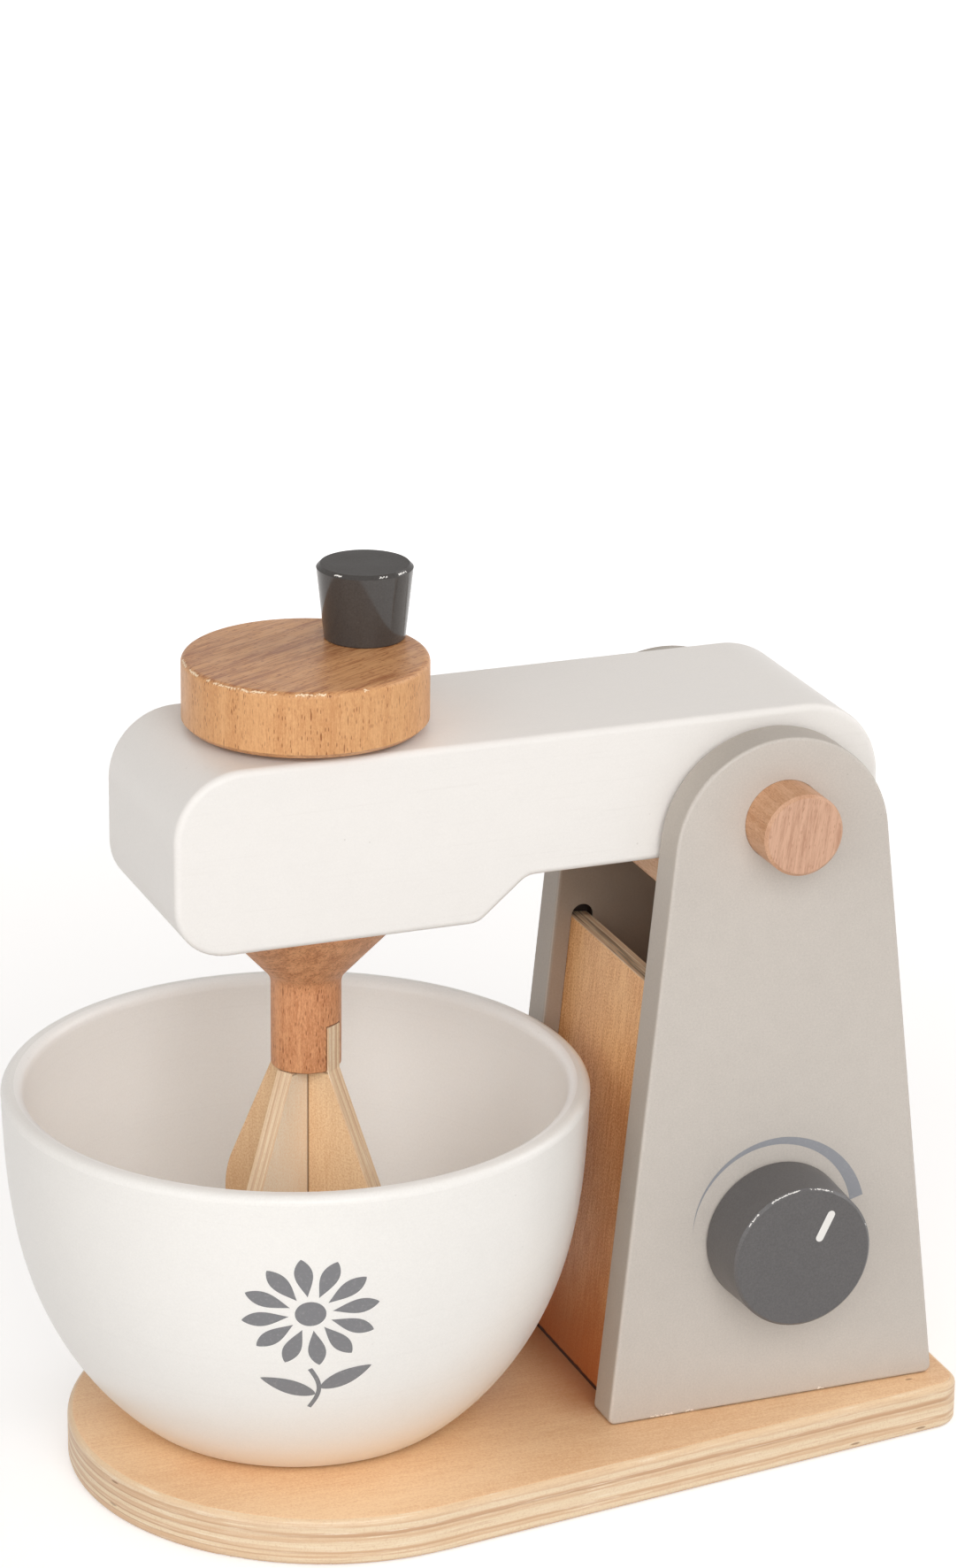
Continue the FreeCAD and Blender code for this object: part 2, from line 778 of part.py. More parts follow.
def main():
    os.makedirs("parts", exist_ok=True)
    pieces = {
        "base_board": base_board(),
        "base_screws": base_screws(),
        "dial_side_panel": side_panel(-1),
        "plain_side_panel": side_panel(1),
        "front_cross_board": cross_board(foot_front_x, front_lean, front_board_height),
        "rear_cross_board": cross_board(foot_rear_x, rear_lean, rear_board_height),
        "arm_rest_bar": arm_rest_bar(),
        "rest_bar_dowels": rest_bar_dowels(),
        "arm": arm(),
        "pivot_dowel": pivot_dowel(),
        "crank_disc": crank_disc(),
        "disc_washer": disc_washer(),
        "crank_knob": crank_knob(),
        "crank_knob_dowel": crank_knob_dowel(),
        "spindle_dowel": spindle_dowel(),
        "whisk_hub": whisk_hub(),
        "whisk_blade_slotted": whisk_blade_slotted(),
        "whisk_blade_crossing": whisk_blade_crossing(),
        "bowl": bowl(),
        "dial_knob": dial_knob(),
        "dial_washer": dial_washer(),
        "dial_screw": dial_screw(),
    }
    for name, shape in pieces.items():
        save(name, shape)
        box = shape.BoundBox
        print("%-22s solids %d  x %.1f..%.1f  y %.1f..%.1f  z %.1f..%.1f" % (
            name, len(shape.Solids), box.XMin, box.XMax, box.YMin, box.YMax, box.ZMin, box.ZMax))


main()
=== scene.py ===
import bpy
import math
from mathutils import Matrix, Vector
from mathutils.bvhtree import BVHTree


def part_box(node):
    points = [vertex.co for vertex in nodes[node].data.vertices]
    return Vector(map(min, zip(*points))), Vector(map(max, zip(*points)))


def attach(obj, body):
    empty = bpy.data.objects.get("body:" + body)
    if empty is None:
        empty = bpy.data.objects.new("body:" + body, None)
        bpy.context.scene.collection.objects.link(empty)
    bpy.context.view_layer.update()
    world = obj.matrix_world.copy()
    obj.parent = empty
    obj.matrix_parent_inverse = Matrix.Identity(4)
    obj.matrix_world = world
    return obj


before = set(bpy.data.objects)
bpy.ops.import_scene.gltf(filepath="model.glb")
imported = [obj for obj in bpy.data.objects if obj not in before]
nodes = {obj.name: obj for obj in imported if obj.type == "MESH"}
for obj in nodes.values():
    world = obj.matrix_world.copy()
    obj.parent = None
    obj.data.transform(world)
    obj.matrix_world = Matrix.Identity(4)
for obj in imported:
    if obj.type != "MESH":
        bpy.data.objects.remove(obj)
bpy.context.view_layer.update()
print("frame loaded:", len(nodes), "nodes")

mm = 0.001
upright = Vector((0, 0, 1))
crosswise = Vector((0, 1, 0))
lengthwise = Vector((1, 0, 0))
white = (1, 1, 1, 1)
black = (0, 0, 0, 1)


def rgb(red, green, blue):
    # screen values 0..255 to a linear colour
    channels = []
    for value in (red, green, blue):
        value = value / 255
        channels.append(value / 12.92 if value <= 0.04045 else ((value + 0.055) / 1.055) ** 2.4)
    return (*channels, 1.0)


# places and sizes of pieces, as the frame has them

def topOf(name):
    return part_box(name)[1].z


def sizeOf(name):
    low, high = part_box(name)
    return high - low


def axisOf(name, direction):
    # point on the piece's middle line, at 0 along direction
    low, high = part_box(name)
    middle = (low + high) / 2
    return middle - direction * middle.dot(direction)


# helpers for node trees

def addNode(tree, kind, **settings):
    node = tree.nodes.new(kind)
    for name, value in settings.items():
        setattr(node, name, value)
    return node


def plug(tree, socket, value):
    # value is another node's output, or a constant
    if isinstance(value, bpy.types.NodeSocket):
        tree.links.new(value, socket)
    else:
        socket.default_value = value


def calc(tree, operation, first, second=0.0, third=0.0):
    node = addNode(tree, "ShaderNodeMath", operation=operation)
    for socket, value in zip(node.inputs, (first, second, third)):
        plug(tree, socket, value)
    return node.outputs[0]


def product(tree, first, *others):
    for other in others:
        first = calc(tree, "MULTIPLY", first, other)
    return first


def weighted(tree, total, *parts):
    # total plus each value times its weight
    for value, weight in parts:
        total = calc(tree, "MULTIPLY_ADD", value, weight, total)
    return total


def centred(tree, noise):
    return calc(tree, "SUBTRACT", noise, 0.5)


def vectorCalc(tree, operation, first, second):
    node = addNode(tree, "ShaderNodeVectorMath", operation=operation)
    plug(tree, node.inputs[0], first)
    plug(tree, node.inputs[1], second)
    return node.outputs["Value"] if operation == "DOT_PRODUCT" else node.outputs[0]


def stretch(tree, vector, factors):
    return vectorCalc(tree, "MULTIPLY", vector, factors)


def distance(tree, vector):
    node = addNode(tree, "ShaderNodeVectorMath", operation="LENGTH")
    plug(tree, node.inputs[0], vector)
    return node.outputs["Value"]


def split(tree, vector):
    node = addNode(tree, "ShaderNodeSeparateXYZ")
    plug(tree, node.inputs[0], vector)
    return node.outputs


def join(tree, x, y, z):
    node = addNode(tree, "ShaderNodeCombineXYZ")
    for socket, value in zip(node.inputs, (x, y, z)):
        plug(tree, socket, value)
    return node.outputs[0]


def mixColour(tree, factor, first, second, blend="MIX"):
    node = addNode(tree, "ShaderNodeMix", data_type="RGBA", blend_type=blend)
    plug(tree, node.inputs["Factor"], factor)
    plug(tree, node.inputs[6], first)
    plug(tree, node.inputs[7], second)
    return node.outputs[2]


def tint(tree, colour, tone):
    return mixColour(tree, 1.0, colour, tone, "MULTIPLY")


def smooth(tree, value, low, high, outLow=0.0, outHigh=1.0):
    # soft step; with low above high it falls instead of rising
    node = addNode(tree, "ShaderNodeMapRange", interpolation_type="SMOOTHSTEP")
    for name, number in (("Value", value), ("From Min", low), ("From Max", high),
                         ("To Min", outLow), ("To Max", outHigh)):
        plug(tree, node.inputs[name], number)
    return node.outputs[0]


def cloud(tree, vector, scale, detail=3.0, roughness=0.5):
    # soft noise from 0 to 1
    node = addNode(tree, "ShaderNodeTexNoise")
    for name, value in (("Vector", vector), ("Scale", scale), ("Detail", detail), ("Roughness", roughness)):
        plug(tree, node.inputs[name], value)
    return node.outputs[0]


def dashes(tree, vector, scale, share, size):
    # scattered spots: share is how many of the cells have one
    cells = addNode(tree, "ShaderNodeTexVoronoi", feature="F1")
    plug(tree, cells.inputs["Vector"], vector)
    plug(tree, cells.inputs["Scale"], scale)
    chance = split(tree, cells.outputs["Color"])["X"]
    kept = smooth(tree, chance, 1 - share, 1.02 - share)
    return product(tree, kept, smooth(tree, cells.outputs["Distance"], size, size * 0.55))


def stops(tree, value, colours, interpolation="LINEAR"):
    # colours is a list of (place, colour)
    node = addNode(tree, "ShaderNodeValToRGB")
    ramp = node.color_ramp
    ramp.interpolation = interpolation
    while len(ramp.elements) < len(colours):
        ramp.elements.new(0.5)
    for element, (place, colour) in zip(ramp.elements, colours):
        element.position = place
        element.color = colour
    plug(tree, node.inputs[0], value)
    return node.outputs[0]


def spans(tree, value, ranges):
    # 1 inside the ranges, 0 between them
    colours = [(0.0, black)]
    for low, high in ranges:
        colours.append((low, white))
        colours.append((high, black))
    return stops(tree, value, colours, "CONSTANT")


def facing(tree, direction, low, high):
    # 1 where the surface looks along direction, either way
    normal = addNode(tree, "ShaderNodeTexCoord").outputs["Normal"]
    along = calc(tree, "ABSOLUTE", vectorCalc(tree, "DOT_PRODUCT", normal, direction))
    return smooth(tree, along, low, high)


def newGroup(name, inputs, outputs):
    # inputs are (name, kind, default) and outputs (name, kind)
    tree = bpy.data.node_groups.new(name, "ShaderNodeTree")
    kinds = {"value": "NodeSocketFloat", "colour": "NodeSocketColor", "vector": "NodeSocketVector"}
    for label, kind, default in inputs:
        socket = tree.interface.new_socket(name=label, in_out="INPUT", socket_type=kinds[kind])
        socket.default_value = default
    for label, kind in outputs:
        tree.interface.new_socket(name=label, in_out="OUTPUT", socket_type=kinds[kind])
    return tree, addNode(tree, "NodeGroupInput").outputs, addNode(tree, "NodeGroupOutput").inputs


def useGroup(tree, group, **values):
    # underscores in the keyword stand for spaces in the socket's name
    node = addNode(tree, "ShaderNodeGroup", node_tree=group)
    for name, value in values.items():
        plug(tree, node.inputs[name.replace("_", " ")], value)
    return node.outputs


# what the groups for wood and paint put out
surfaceOutputs = [("Color", "colour"), ("Height", "value"), ("Roughness", "value")]


def beechSide(tree, given, broad, fibre):
    # fibres and short dark flecks, on a cut along the grain
    point = given["Vector"]
    speck = cloud(tree, stretch(tree, point, (1, 1, 0.5)), scale=2400, detail=2, roughness=0.6)
    small = dashes(tree, stretch(tree, point, (1, 1, 0.24)), scale=1600, share=0.5, size=0.33)
    large = dashes(tree, stretch(tree, point, (1, 1, 0.15)), scale=950, share=0.24, size=0.25)
    crowd = smooth(tree, broad, 0.3, 0.62, outLow=0.4)
    fleck = calc(tree, "MAXIMUM", product(tree, small, 0.75), large)
    fleck = product(tree, crowd, given["Fleck Amount"], fleck)
    tone = weighted(tree, -1.3, (fibre, 1.5), (broad, 1.1), (speck, 1.0))
    colour = mixColour(tree, smooth(tree, tone, 0.0, 1.0), given["Light"], given["Dark"])
    return mixColour(tree, fleck, colour, given["Fleck"]), fleck


def beechEnd(tree, given):
    # rays, growth bands and pores, on a cut across the grain
    point = given["Vector"]
    rays = cloud(tree, stretch(tree, point, (0.07, 1, 1)), scale=1500, detail=4, roughness=0.75)
    bands = cloud(tree, stretch(tree, point, (0.05, 1, 1)), scale=330, detail=3, roughness=0.55)
    pores = dashes(tree, stretch(tree, point, (0.25, 1, 1)), scale=1500, share=0.4, size=0.36)
    tone = weighted(tree, -1.75, (bands, 1.7), (rays, 2.6), (pores, 0.6))
    return mixColour(tree, smooth(tree, tone, 0.0, 1.0), given["End Light"], given["End Dark"]), rays


def makeBeechGrain():
    # grain runs along Z of the vector; End is 1 where the cut goes across the grain
    inputs = [("Vector", "vector", (0, 0, 0)), ("End", "value", 0.0), ("Light", "colour", white),
              ("Dark", "colour", white), ("Fleck", "colour", white), ("End Light", "colour", white),
              ("End Dark", "colour", white), ("Fleck Amount", "value", 0.7)]
    tree, given, result = newGroup("beech grain", inputs, surfaceOutputs)
    point = given["Vector"]
    broad = cloud(tree, stretch(tree, point, (1, 1, 0.07)), scale=210, detail=3, roughness=0.6)
    fibre = cloud(tree, stretch(tree, point, (1, 1, 0.12)), scale=2100, detail=3, roughness=0.7)
    side, fleck = beechSide(tree, given, broad, fibre)
    end, rays = beechEnd(tree, given)
    height = calc(tree, "SUBTRACT", product(tree, fibre, 0.5), fleck)
    rough = product(tree, rays, given["End"])
    plug(tree, result["Color"], mixColour(tree, given["End"], side, end))
    plug(tree, result["Height"], weighted(tree, height, (rough, 0.5)))
    plug(tree, result["Roughness"], weighted(tree, 0.3, (broad, 0.2)))
    return tree


plyTones = {
    "face": rgb(243, 212, 173),
    "cream": rgb(243, 221, 189),
    "straw": rgb(235, 206, 171),
    "tan": rgb(227, 193, 157),
    "brown": rgb(214, 175, 140),
    "glue": rgb(204, 164, 130),
    "paleStreak": rgb(251, 235, 210),
    "darkStreak": rgb(214, 174, 138),
    "speck": rgb(214, 176, 138),
    "knot": rgb(138, 94, 62),
    "pinKnot": rgb(112, 70, 42),
}

# plies seen along their grain and across it, from the sheet's back to its face
pliesAlong = [
    (0.0, "tan"), (0.07, "tan"), (0.09, "cream"), (0.18, "cream"), (0.205, "tan"), (0.26, "straw"),
    (0.29, "brown"), (0.325, "tan"), (0.35, "cream"), (0.5, "cream"), (0.53, "straw"), (0.57, "tan"),
    (0.62, "straw"), (0.645, "glue"), (0.7, "brown"), (0.73, "straw"), (0.76, "cream"), (0.83, "cream"),
    (0.86, "tan"), (0.89, "straw"), (1.0, "face")]
pliesAcross = [
    (0.0, "straw"), (0.07, "brown"), (0.1, "tan"), (0.2, "tan"), (0.215, "glue"), (0.235, "cream"),
    (0.3, "cream"), (0.315, "glue"), (0.34, "tan"), (0.41, "tan"), (0.425, "cream"), (0.5, "cream"),
    (0.515, "glue"), (0.55, "tan"), (0.615, "tan"), (0.63, "cream"), (0.69, "cream"), (0.71, "glue"),
    (0.74, "tan"), (0.8, "tan"), (0.85, "brown"), (0.875, "cream"), (0.91, "straw"), (1.0, "face")]


def plyEdge(tree, given, point, height, speck):
    # the plies wander a little, and the saw has left streaks along them
    slow = cloud(tree, stretch(tree, point, (1, 1, 0.3)), scale=24, detail=2)
    quick = cloud(tree, stretch(tree, point, (1, 1, 0.6)), scale=170, detail=3)
    drift = calc(tree, "ADD", slow, weighted(tree, -0.675, (quick, 0.35)))
    level = calc(tree, "DIVIDE", height, given["Thickness"])
    level = weighted(tree, level, (drift, given["Wander"]))
    along = stops(tree, level, [(place, plyTones[tone]) for place, tone in pliesAlong])
    across = stops(tree, level, [(place, plyTones[tone]) for place, tone in pliesAcross])
    streak = cloud(tree, stretch(tree, point, (0.03, 0.03, 1)), scale=2300, detail=4, roughness=0.65)
    patch = cloud(tree, stretch(tree, point, (1, 1, 4)), scale=45, detail=3)
    palePatch = smooth(tree, patch, 0.35, 0.65, outLow=0.3, outHigh=0.9)
    darkPatch = smooth(tree, patch, 0.35, 0.65, outLow=0.6, outHigh=0.1)
    pale = product(tree, smooth(tree, streak, 0.48, 0.32), palePatch)
    dark = product(tree, smooth(tree, streak, 0.52, 0.68), darkPatch)
    knot = dashes(tree, stretch(tree, point, (0.2, 0.2, 1)), scale=480, share=0.035, size=0.2)
    colour = mixColour(tree, given["Across"], along, across)
    colour = mixColour(tree, pale, colour, plyTones["paleStreak"])
    colour = mixColour(tree, dark, colour, plyTones["darkStreak"])
    colour = mixColour(tree, smooth(tree, speck, 0.45, 0.75, outHigh=0.35), colour, plyTones["speck"])
    return mixColour(tree, product(tree, knot, 0.7), colour, plyTones["knot"]), streak


def plyFace(tree, given, point, broad, fine, speck):
    tone = weighted(tree, -0.15, (broad, 1.3), (centred(tree, fine), given["Lines"]),
                    (centred(tree, speck), given["Speckle"]))
    colour = mixColour(tree, smooth(tree, tone, 0.0, 1.0), given["Face Light"], given["Face Dark"])
    pin = dashes(tree, stretch(tree, point, (0.4, 1, 1)), scale=120, share=0.05, size=0.07)
    return mixColour(tree, product(tree, pin, 0.6), colour, plyTones["pinKnot"])


def makePlywood():
    # Z of the vector goes through the sheet from 0 to Thickness, X runs along the face grain
    inputs = [("Vector", "vector", (0, 0, 0)), ("Thickness", "value", 0.013), ("Face", "value", 0.0),
              ("Across", "value", 0.0), ("Face Light", "colour", white), ("Face Dark", "colour", white),
              ("Wander", "value", 0.03), ("Seed", "value", 0.0), ("Lines", "value", 0.6),
              ("Speckle", "value", 0.6)]
    tree, given, result = newGroup("plywood", inputs, surfaceOutputs)
    x, y, z = split(tree, given["Vector"])
    point = join(tree, calc(tree, "ADD", x, given["Seed"]), y, z)
    speck = cloud(tree, point, scale=1800, detail=3, roughness=0.6)
    broad = cloud(tree, stretch(tree, point, (0.3, 1, 1)), scale=30, detail=4, roughness=0.6)
    fine = cloud(tree, stretch(tree, point, (0.08, 1, 1)), scale=1100, detail=4, roughness=0.7)
    edge, streak = plyEdge(tree, given, point, z, speck)
    face = plyFace(tree, given, point, broad, fine, speck)
    plug(tree, result["Color"], mixColour(tree, given["Face"], edge, face))
    plug(tree, result["Height"], weighted(tree, product(tree, streak, 0.6), (fine, 0.5)))
    plug(tree, result["Roughness"], weighted(tree, 0.34, (broad, 0.2)))
    return tree


dustColour = rgb(140, 130, 120)


def makePaint():
    # sprayed and rubbed down paint: faint mottling, fine grain, orange peel and a few dust specks
    inputs = [("Vector", "vector", (0, 0, 0)), ("Paint", "colour", white), ("Mottle", "value", 0.05),
              ("Grain", "value", 0.1), ("Dust", "value", 0.3), ("Base Roughness", "value", 0.42),
              ("Peel Size", "value", 900.0)]
    tree, given, result = newGroup("sprayed paint", inputs, surfaceOutputs)
    point = given["Vector"]
    broad = cloud(tree, point, scale=18, detail=3)
    middle = cloud(tree, point, scale=170, detail=3)
    grain = cloud(tree, point, scale=1900, detail=3, roughness=0.7)
    peel = cloud(tree, point, scale=given["Peel Size"], detail=2)
    dust = product(tree, dashes(tree, point, scale=300, share=0.05, size=0.1), given["Dust"])
    mottle = calc(tree, "SUBTRACT", calc(tree, "ADD", broad, middle), 1.0)
    factor = weighted(tree, 1.0, (mottle, given["Mottle"]), (centred(tree, grain), given["Grain"]))
    colour = tint(tree, given["Paint"], join(tree, factor, factor, factor))
    rough = calc(tree, "ADD", given["Base Roughness"], weighted(tree, -0.08, (middle, 0.16)))
    plug(tree, result["Color"], mixColour(tree, dust, colour, dustColour))
    plug(tree, result["Height"], weighted(tree, product(tree, grain, 0.25), (peel, 0.6), (dust, 0.6)))
    plug(tree, result["Roughness"], rough)
    return tree


def makeEdgeChipsAndHighlights():
    # Distance is how far the point is from the edge; the mask is 1 where paint is gone, and on the beech
    # disc's rim where a painted highlight lies
    inputs = [("Vector", "vector", (0, 0, 0)), ("Distance", "value", 1.0), ("Width", "value", 0.0006),
              ("Amount", "value", 0.4), ("Size", "value", 300.0)]
    tree, given, result = newGroup("edge chips and highlights", inputs, [("Mask", "value")])
    where = cloud(tree, given["Vector"], scale=given["Size"], detail=4, roughness=0.6)
    ragged = cloud(tree, given["Vector"], scale=product(tree, given["Size"], 4.0), detail=2)
    level = calc(tree, "SUBTRACT", 1.0, given["Amount"])
    bare = smooth(tree, where, level, calc(tree, "ADD", level, 0.06))
    outer = product(tree, given["Width"], smooth(tree, ragged, 0.35, 0.7, outLow=0.15, outHigh=1.6))
    inner = product(tree, outer, 0.6)
    plug(tree, result["Mask"], product(tree, bare, smooth(tree, given["Distance"], outer, inner)))
    return tree


beechGrain = makeBeechGrain()
plywood = makePlywood()
sprayedPaint = makePaint()
edgeChipsAndHighlights = makeEdgeChipsAndHighlights()
print("shared effects ready")

bumpDepth = 0.1 * mm
chipAndHighlightDepth = 1.5                  # next to the height of the grain
toolMarkColour = rgb(180, 170, 160)


def newMaterial(name):
    material = bpy.data.materials.new(name)
    material.use_nodes = True
    tree = material.node_tree
    place = addNode(tree, "ShaderNodeTexCoord").outputs["Object"]
    return material, tree, tree.nodes["Principled BSDF"], place


def addBump(tree, shader, height, strength):
    bump = addNode(tree, "ShaderNodeBump")
    bump.inputs["Strength"].default_value = strength
    bump.inputs["Distance"].default_value = bumpDepth
    tree.links.new(height, bump.inputs["Height"])
    tree.links.new(bump.outputs["Normal"], shader.inputs["Normal"])


def turnedPlace(tree, place, corner, turn, fine=1.0):
    # moves to the piece's own corner first, then turns into its own directions
    node = addNode(tree, "ShaderNodeMapping", vector_type="POINT")
    tree.links.new(vectorCalc(tree, "SUBTRACT", place, corner), node.inputs["Vector"])
    node.inputs["Rotation"].default_value = turn
    node.inputs["Scale"].default_value = (fine, fine, fine)
    return node.outputs[0]


def seamed(tree, place, colour, look):
    # where another piece meets this one: painted shade, and the thin dark line
    for mark in ("paintedShade", "seam"):
        if mark in look:
            colour = mixColour(tree, look[mark](tree, place), colour, look[mark + "Colour"])
    return colour


def addChipsAndHighlights(tree, place, colour, height, look):
    # look["edge"] gives the distance from the edge and where along it the marks are: worn chips, and on the
    # disc's rim a painted highlight
    fromEdge, allowed = look["edge"](tree, place)
    chipsAndHighlight = useGroup(tree, edgeChipsAndHighlights, Vector=place, Distance=fromEdge, Width=look["chipAndHighlightWidth"],
                    Amount=look["chipAndHighlightAmount"], Size=look["chipAndHighlightSize"])
    mask = product(tree, chipsAndHighlight["Mask"], allowed)
    colour = mixColour(tree, mask, colour, look["chipAndHighlightColour"])
    return colour, calc(tree, "SUBTRACT", height, product(tree, mask, chipAndHighlightDepth))


def plywoodFinish(name, look):
    material, tree, shader, place = newMaterial(name)
    vector = turnedPlace(tree, place, look["corner"], look["turn"])
    face = facing(tree, look["facing"], low=0.93, high=0.985)
    across = facing(tree, look["grain"], low=0.2, high=0.9)
    wood = useGroup(tree, plywood, Vector=vector, Thickness=look["thickness"], Seed=look["seed"],
                    Face=face, Across=across, Wander=look["wander"], Face_Light=look["light"],
                    Face_Dark=look["dark"], Lines=look["lines"], Speckle=look["speckle"])
    tree.links.new(seamed(tree, place, wood["Color"], look), shader.inputs["Base Color"])
    tree.links.new(wood["Roughness"], shader.inputs["Roughness"])
    shader.inputs["Specular IOR Level"].default_value = 0.3
    shader.inputs["Coat Weight"].default_value = 0.1
    shader.inputs["Coat Roughness"].default_value = 0.3
    addBump(tree, shader, wood["Height"], 0.3)
    return material


def beechFinish(name, look):
    material, tree, shader, place = newMaterial(name)
    vector = turnedPlace(tree, place, look["corner"], look["turn"], look.get("fine", 1.0))
    end = facing(tree, look["grain"], low=0.45, high=0.93)
    wood = useGroup(tree, beechGrain, Vector=vector, End=end, Light=look["light"], Dark=look["dark"],
                    Fleck=look["fleck"], End_Light=look["endLight"], End_Dark=look["endDark"],
                    Fleck_Amount=look["flecks"])
    colour = seamed(tree, place, wood["Color"], look)
    height = wood["Height"]
    if "edge" in look:
        colour, height = addChipsAndHighlights(tree, place, colour, height, look)
    tree.links.new(colour, shader.inputs["Base Color"])
    tree.links.new(wood["Roughness"], shader.inputs["Roughness"])
    shader.inputs["Specular IOR Level"].default_value = 0.25
    shader.inputs["Coat Weight"].default_value = look["coat"]
    shader.inputs["Coat Roughness"].default_value = 0.18
    addBump(tree, shader, height, look["bump"])
    return material


def paintFinish(name, look):
    material, tree, shader, place = newMaterial(name)
    colour = look["colour"]
    if "shade" in look:
        colour = look["shade"](tree, place, colour)
    coat = useGroup(tree, sprayedPaint, Vector=place, Paint=colour, Mottle=look["mottle"],
                    Grain=look["grain"], Dust=look["dust"], Base_Roughness=look["roughness"],
                    Peel_Size=look["peel"])
    colour = coat["Color"]
    height = coat["Height"]
    if "toolMarks" in look:
        marks = cloud(tree, look["toolMarks"](tree, place), scale=1400, detail=3, roughness=0.6)
        height = weighted(tree, height, (marks, look["toolMarkDepth"]))
        colour = mixColour(tree, smooth(tree, marks, 0.55, 0.8, outHigh=0.06), colour, toolMarkColour)
    if "edge" in look:
        colour, height = addChipsAndHighlights(tree, place, colour, height, look)
    tree.links.new(colour, shader.inputs["Base Color"])
    tree.links.new(coat["Roughness"], shader.inputs["Roughness"])
    shader.inputs["Specular IOR Level"].default_value = look["specular"]
    if "gloss" in look:
        tree.links.new(look["gloss"](tree, look["coat"]), shader.inputs["Coat Weight"])
    else:
        shader.inputs["Coat Weight"].default_value = look["coat"]
    shader.inputs["Coat Roughness"].default_value = look["coatRoughness"]
    addBump(tree, shader, height, look["bump"])
    return material


def dress(nodeName, material):
    for slot in nodes[nodeName].material_slots:
        slot.material = material


# places on the stand that several pieces share; leans are in radians from upright
stand = {
    "frontFoot": 16.42 * mm,     # where the panels' leaning edges meet the base
    "rearFoot": 111.42 * mm,
    "baseTop": topOf("base_board"),
    "frontLean": 0.0986,
    "rearLean": -0.1183,
    "setback": 5 * mm,           # from a panel's edge to its cross board
}

# base board, with painted shade on its top in front of the cross board's foot
baseBoard = {
    "corner": (0, 0, 0), "turn": (0, 0, 0), "thickness": sizeOf("base_board").z,
    "facing": upright, "grain": lengthwise, "seed": 0.0, "wander": 0.075,
    "light": rgb(255, 219, 176), "dark": rgb(234, 186, 140), "lines": 0.8, "speckle": 1.4,
    "paintedShadeColour": rgb(172, 102, 56), "paintedShadeStrength": 0.75,
    "paintedShadeReach": 18 * mm,       # forwards from the foot
    "paintedShadeOuter": 42 * mm,       # sideways from the middle, where it ends
    "paintedShadeInner": 24 * mm,       # and where it is full
    "paintedShadeUnder": 5 * mm,        # under the board
}


def baseRecessShade(tree, place):
    # painted shade: the top is darkened towards the cross board's foot, between the panels
    x, y, z = split(tree, place)
    foot = stand["frontFoot"] + stand["setback"]
    near = smooth(tree, x, foot - baseBoard["paintedShadeReach"], foot)
    sideways = calc(tree, "ABSOLUTE", y)
    between = smooth(tree, sideways, baseBoard["paintedShadeOuter"], baseBoard["paintedShadeInner"])
    inFront = calc(tree, "LESS_THAN", x, foot + baseBoard["paintedShadeUnder"])
    return product(tree, near, between, baseBoard["paintedShadeStrength"], inFront)


baseBoard["paintedShade"] = baseRecessShade
dress("base_board", plywoodFinish("base plywood", baseBoard))
print("base board finished")

# what the two cross boards share; heights are above the base board
crossBoard = {
    "thickness": 6 * mm, "wander": 0.06, "lines": 1.7, "speckle": 2.6,
    "light": rgb(255, 206, 146), "dark": rgb(212, 144, 90),
    # painted shade: darker and redder towards the board's foot
    "paintedShadeColour": rgb(196, 108, 50), "paintedShadeStrength": 0.82,
    "paintedShadeTop": 44 * mm,
    "paintedShadeFull": 2 * mm,
    "seamColour": rgb(62, 30, 20),
    "glueTop": 1.6 * mm,
    "glueFull": 1.1 * mm,
    "glueRagged": 0.5 * mm,
    "sawWeak": 0.06,
    "sawStrong": 0.6,
}


def boardFootShade(tree, place):
    # painted shade at the foot, fading upwards
    top = stand["baseTop"] + crossBoard["paintedShadeTop"]
    full = stand["baseTop"] + crossBoard["paintedShadeFull"]
    return smooth(tree, split(tree, place)["Z"], top, full, outHigh=crossBoard["paintedShadeStrength"])


def boardSeam(tree, place):
    # glue line along the foot, and dark lines on the rough sawn upper end
    ragged = product(tree, cloud(tree, place, scale=400, detail=2), crossBoard["glueRagged"])
    height = calc(tree, "ADD", split(tree, place)["Z"], ragged)
    glue = smooth(tree, height, stand["baseTop"] + crossBoard["glueTop"],
                  stand["baseTop"] + crossBoard["glueFull"])
    saw = cloud(tree, stretch(tree, place, (1, 0.04, 1)), scale=1100, detail=3)
    saw = smooth(tree, saw, 0.5, 0.62, outLow=crossBoard["sawWeak"], outHigh=crossBoard["sawStrong"])
    upperEnd = facing(tree, upright, low=0.9, high=0.98)
    return calc(tree, "MAXIMUM", glue, product(tree, saw, upperEnd))


def crossBoardLook(foot, lean, side, seed):
    # own Z goes from the board's outer face inwards, own X along its height
    return {
        **crossBoard, "seed": seed, "paintedShade": boardFootShade, "seam": boardSeam,
        "corner": (foot + side * stand["setback"] / math.cos(lean), 0, stand["baseTop"]),
        "turn": (0, -side * math.pi / 2 - lean, 0),
        "facing": (side * math.cos(lean), 0, -side * math.sin(lean)),
        "grain": (math.sin(lean), 0, math.cos(lean)),
    }


frontBoard = crossBoardLook(stand["frontFoot"], stand["frontLean"], side=1, seed=0.37)
rearBoard = crossBoardLook(stand["rearFoot"], stand["rearLean"], side=-1, seed=0.81)
dress("front_cross_board", plywoodFinish("front board plywood", frontBoard))
dress("rear_cross_board", plywoodFinish("rear board plywood", rearBoard))
print("cross boards finished")

